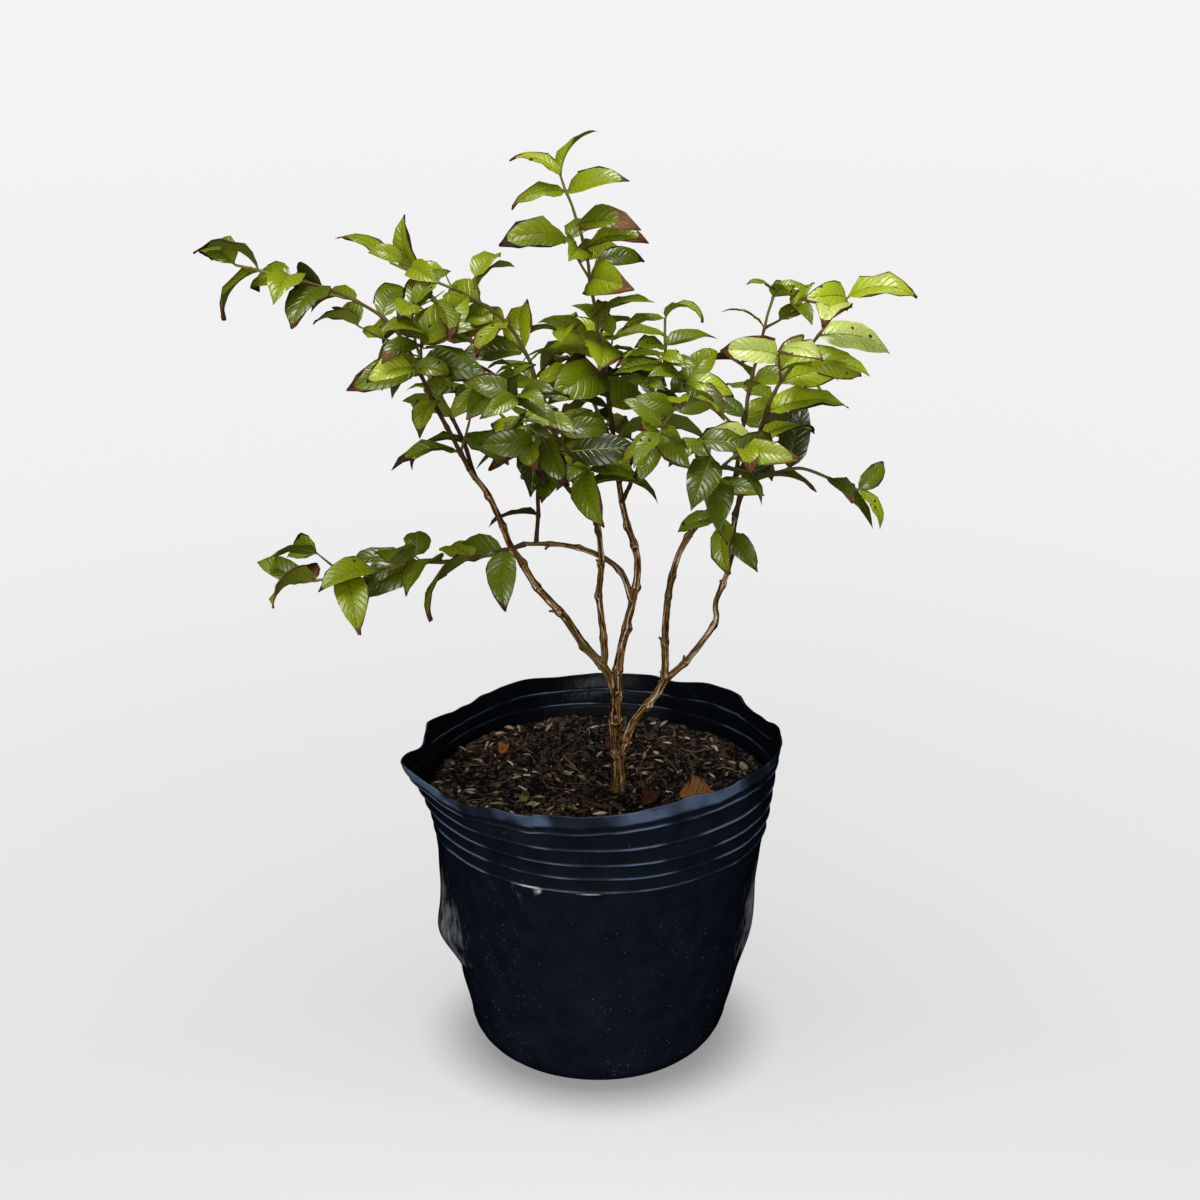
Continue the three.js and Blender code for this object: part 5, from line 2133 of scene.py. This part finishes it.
    def fibre_strands(self) -> Surface:
        """Strew fibres: thin tubes along gently bent lines that lie on the crumbs.

        Returns:
            The joined tubes.
        """
        places, rng = self.strewn(self.fibres, 43)
        count = len(places)
        way = rng.uniform(0, TURN, count)
        length = 7 + 34 * rng.uniform(size=count) ** 1.6
        step = np.linspace(-0.5, 0.5, 9)
        turn = way[:, None] + rng.normal(0, 0.2, (count, 1)) * step
        line = np.stack([np.cos(turn), np.sin(turn)], -1) * (step[:, None] * length[:, None, None])
        flat = places[:, None, :2] + line
        far = np.linalg.norm(flat, axis=2, keepdims=True)
        flat = flat * np.minimum(1, (self.edge - 4) / far)
        rest = self.top(flat.reshape(-1, 2)).reshape(count, -1)
        rest = np.maximum(rest, rest.mean(1, keepdims=True)) + rng.uniform(0.2, 1.2, (count, 1))
        thick = 0.15 + 0.35 * rng.uniform(size=(count, 1)) ** 3
        radii = np.broadcast_to(thick, rest.shape) * (1 - 0.8 * step**2)
        worn = rng.choice(Litter.FIBRES.value, count)
        return tubes(np.concatenate([flat, rest[..., None]], -1), radii, 5, worn[:, None, None])

    def loose_crumbs(self) -> Surface:
        """Strew loose crumbs and bark chips.

        They are lumps whose rings swell and shrink by seeded shares, drawn out one way and flattened.

        Returns:
            The joined shells.
        """
        places, rng = self.strewn(self.clods, 47)
        count = len(places)
        size = (0.7 + 2.6 * rng.uniform(size=count) ** 2.5)[:, None, None]
        rows = np.array([-0.9, -0.35, 0.35, 0.9])
        girth = size * np.sqrt(1 - rows**2)[None, :, None] * rng.uniform(0.7, 1.25, (count, 4, 6))
        angle = bearings(6) + rng.uniform(0, 6, (count, 1, 1))
        long, way = rng.uniform(1.0, 2.2, (count, 1, 1)), rng.uniform(0, TURN, (count, 1, 1))
        x, y = girth * np.cos(angle) * long, girth * np.sin(angle)
        tip = rng.normal(0, 0.25, (count, 1, 1))
        rings = np.stack(np.broadcast_arrays(
            x * np.cos(way) - y * np.sin(way), x * np.sin(way) + y * np.cos(way),
            0.7 * size * rows[None, :, None] + tip * x), -1)
        worn = rng.choice(Litter.CRUMBS.value, count, p=(0.5, 0.27, 0.14, 0.05, 0.04))
        return lofted(places[:, None, None] + rings, worn[:, None, None])

    def fallen_leaves(self) -> Surface:
        """Lay a few dead leaves: curled blades on the mix, each an arc along and a bowl across.

        Returns:
            The joined shells.
        """
        spots = np.array([[80, -26], [42, -32], [58, -44], [-80, 60],
                          [-24, -50], [8, 74], [-44, 26], [-62, -30]])
        length = np.array([33, 30, 26, 20, 17, 22, 14, 16])[:, None]
        way = np.radians([12, 60, -20, 70, 150, 10, 30, 100])[:, None]
        rng = default_rng(53)
        count = len(spots)
        v, u = np.linspace(0.02, 1, 15), np.array([1, 0.5, 0, -0.5, -1, -0.5, 0, 0.5])
        half = 0.24 * length[..., None] * (np.sin(math.pi * v**0.8)[:, None] * np.ones(8) + 0.04)
        along = (v - 0.5)[None, :, None] * length[..., None]
        rise = 0.14 * length[..., None] * ((2 * v - 1) ** 2)[:, None] + 0.7 * half * u**2
        crumple = np.sin(9 * v[:, None] + 3 * u) + 0.7 * np.sin(17 * v[:, None] - 5 * u + 1)
        rise = rise + rng.uniform(0.06, 0.09, (count, 1, 1)) * length[..., None] * crumple
        tipped = np.array([0.75, 0.3, -0.3, 0.5, 0.4, 0.3, 0.2, 0.1])[:, None, None]
        rise = rise + tipped * half * (u + 1) + np.where(np.arange(8) < 5, 0.2, -0.2) * (1 - u**2)
        c, s = np.cos(way)[..., None], np.sin(way)[..., None]
        x = spots[:, :1, None] + along * c - half * u * s
        y = spots[:, 1:, None] + along * s + half * u * c
        ground = self.top(spots)[:, None, None] + 1.6
        rings = np.stack(np.broadcast_arrays(x, y, ground + rise), -1)
        worn = np.array([7, 8, 8, 7, 9, 8, 8, 9])
        uv = np.stack(np.broadcast_arrays(u, v[:, None], rings[..., 0])[:2], -1)
        return lofted(rings, worn[:, None, None], uv)

    def dry_stalk(self) -> Surface:
        """Lay the dry stalk that arches over the mix, and two straight straws on it, as thin tubes.

        Returns:
            The joined tubes.
        """
        lines = (((64, 24, 2), (52, 47, 5), (36, 34, 8), (34, 2, 5), (44, -36, 2)),
                 ((-30, 50, 3), (-26, 40, 3.4), (-20, 26, 3.6), (-13, 10, 3.2), (-6, -6, 3)),
                 ((-87, 98, 3), (-79, 87, 3.4), (-70, 75, 3.2), (-62, 64, 3.6), (-54, 54, 3)))
        paths = np.stack([curve_through(np.array(line, float), 12) for line in lines])
        girth = np.array([0.8, 0.55, 0.5])[:, None] * np.linspace(1, 0.6, paths.shape[1])
        return tubes(paths + np.array([0, 0, self.pot.level]), girth, 7, np.array([3, 4, 4])[:, None, None])

    def dress(self, skin: Material) -> None:
        """Make the mix as a piece that stands for its solid, and each kind of litter as one piece.

        Args:
            skin: The mix's material.
        """
        make_piece("mix_body", self.body(), [skin], ["soil"])
        worn = [litter.make() for litter in LITTER]
        make_piece("mix_husks", self.husk_shells(), worn)
        make_piece("mix_fibres", self.fibre_strands(), worn)
        make_piece("mix_crumbs", self.loose_crumbs(), worn, flat=True)
        make_piece("mix_fallen_leaves", self.fallen_leaves(), worn)
        make_piece("mix_dry_stalk", self.dry_stalk(), worn)


@dataclass
class Studio:
    """Floor, light and camera.

    Attributes:
        aim: What the camera looks at, in metres.
        elevation: How far the camera looks down, in degrees.
        distance: From the camera to its aim, in metres.
        field: Width of the picture at the aim, in metres.
        floor: Half width of the floor, in metres.
        sky: Strength of the even light from all round.
        lamps: Name, strength, and tilt from above, bearing and width in degrees of each soft light.
    """

    aim: Vec = (0.0, 0.0, 0.393)
    elevation: float = 22.5
    distance: float = 2.6
    field: float = 0.96
    floor: float = 30.0
    sky: float = 0.2
    lamps: tuple[tuple[str, float, float, float, float], ...] = (
        ("main_light", 2.55, 6, -60, 34), ("front_light", 1.3, 74, -8, 34))

    def camera(self) -> None:
        """Set the camera at the angle and the framing of the picture."""
        data = bpy.data.cameras.new("camera")
        data.sensor_width = 36
        data.lens = 36 * self.distance / self.field
        camera = on_show("camera", data)
        angle = math.radians(self.elevation)
        back, high = self.distance * math.cos(angle), self.distance * math.sin(angle)
        camera.location = (self.aim[0], self.aim[1] - back, self.aim[2] + high)
        camera.rotation_euler = (math.radians(90) - angle, 0, 0)
        bpy.context.scene.camera = camera

    def ground(self) -> None:
        """Lay the floor: a wide square grid, level with the foot of the pot, that casts no light back."""
        side = np.linspace(-self.floor, self.floor, 9)
        x, y = np.meshgrid(side, side)
        number = np.arange(x.size).reshape(x.shape)
        corners = [number[:-1, :-1], number[:-1, 1:], number[1:, 1:], number[1:, :-1]]
        quads = np.stack(corners, -1).reshape(-1, 4)
        mesh = bpy.data.meshes.new("floor")
        mesh.from_pydata(np.stack([x, y, np.zeros_like(x)], -1).reshape(-1, 3), [], quads.tolist())
        mesh.materials.append(FloorSkin().make())
        floor = on_show("floor", mesh)
        floor.visible_diffuse = floor.visible_glossy = False

    def light(self) -> None:
        """Set the even light, which gives no gloss, and the soft lamps."""
        scene = bpy.context.scene
        scene.world = bpy.data.worlds.new("studio")
        scene.world.use_nodes = True
        even = scene.world.node_tree.nodes["Background"]
        even.inputs["Color"].default_value = (1.0, 0.995, 0.985, 1)
        even.inputs["Strength"].default_value = self.sky
        scene.world.cycles_visibility.glossy = False
        for name, strength, tilt, bearing, width in self.lamps:
            data = bpy.data.lights.new(name, "SUN")
            data.energy, data.angle = strength, math.radians(width)
            lamp = on_show(name, data)
            lamp.location = (0, 0, 3)
            lamp.rotation_euler = (math.radians(tilt), 0, math.radians(bearing))
        scene.view_settings.view_transform = "Standard"

    def set_up(self) -> None:
        """Set camera, floor and light."""
        self.camera()
        self.ground()
        self.light()


def spur_wood(limbs: Sequence[Limb]) -> Surface:
    """Work out the dead spurs of all limbs.

    Args:
        limbs: The limbs.

    Returns:
        The joined tubes.
    """
    spurs = [spur for limb in limbs for spur in limb.spurs()]
    paths = np.stack([resampled(path, 7) for path, _ in spurs])
    radii = np.stack([np.interp(np.linspace(0, 3, 7), range(4), girth) for _, girth in spurs])
    return tubes(paths, radii, 8)


def main() -> None:
    """Build every sub-assembly in order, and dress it."""
    logging.basicConfig(level=logging.INFO, format="%(name)s %(message)s")
    Studio().set_up()
    pot = Pot()
    pot.dress(FilmSkin().make())
    PottingMix(pot).dress(MixSkin().make())
    limbs = [Limb(plan) for plan in LIMBS]
    bark = BarkSkin().make()
    for limb in limbs:
        limb.dress(bark)
    make_piece("bough_spurs", spur_wood(limbs), [bark])
    Crown(limbs).dress()


if __name__ == "__main__":
    main()
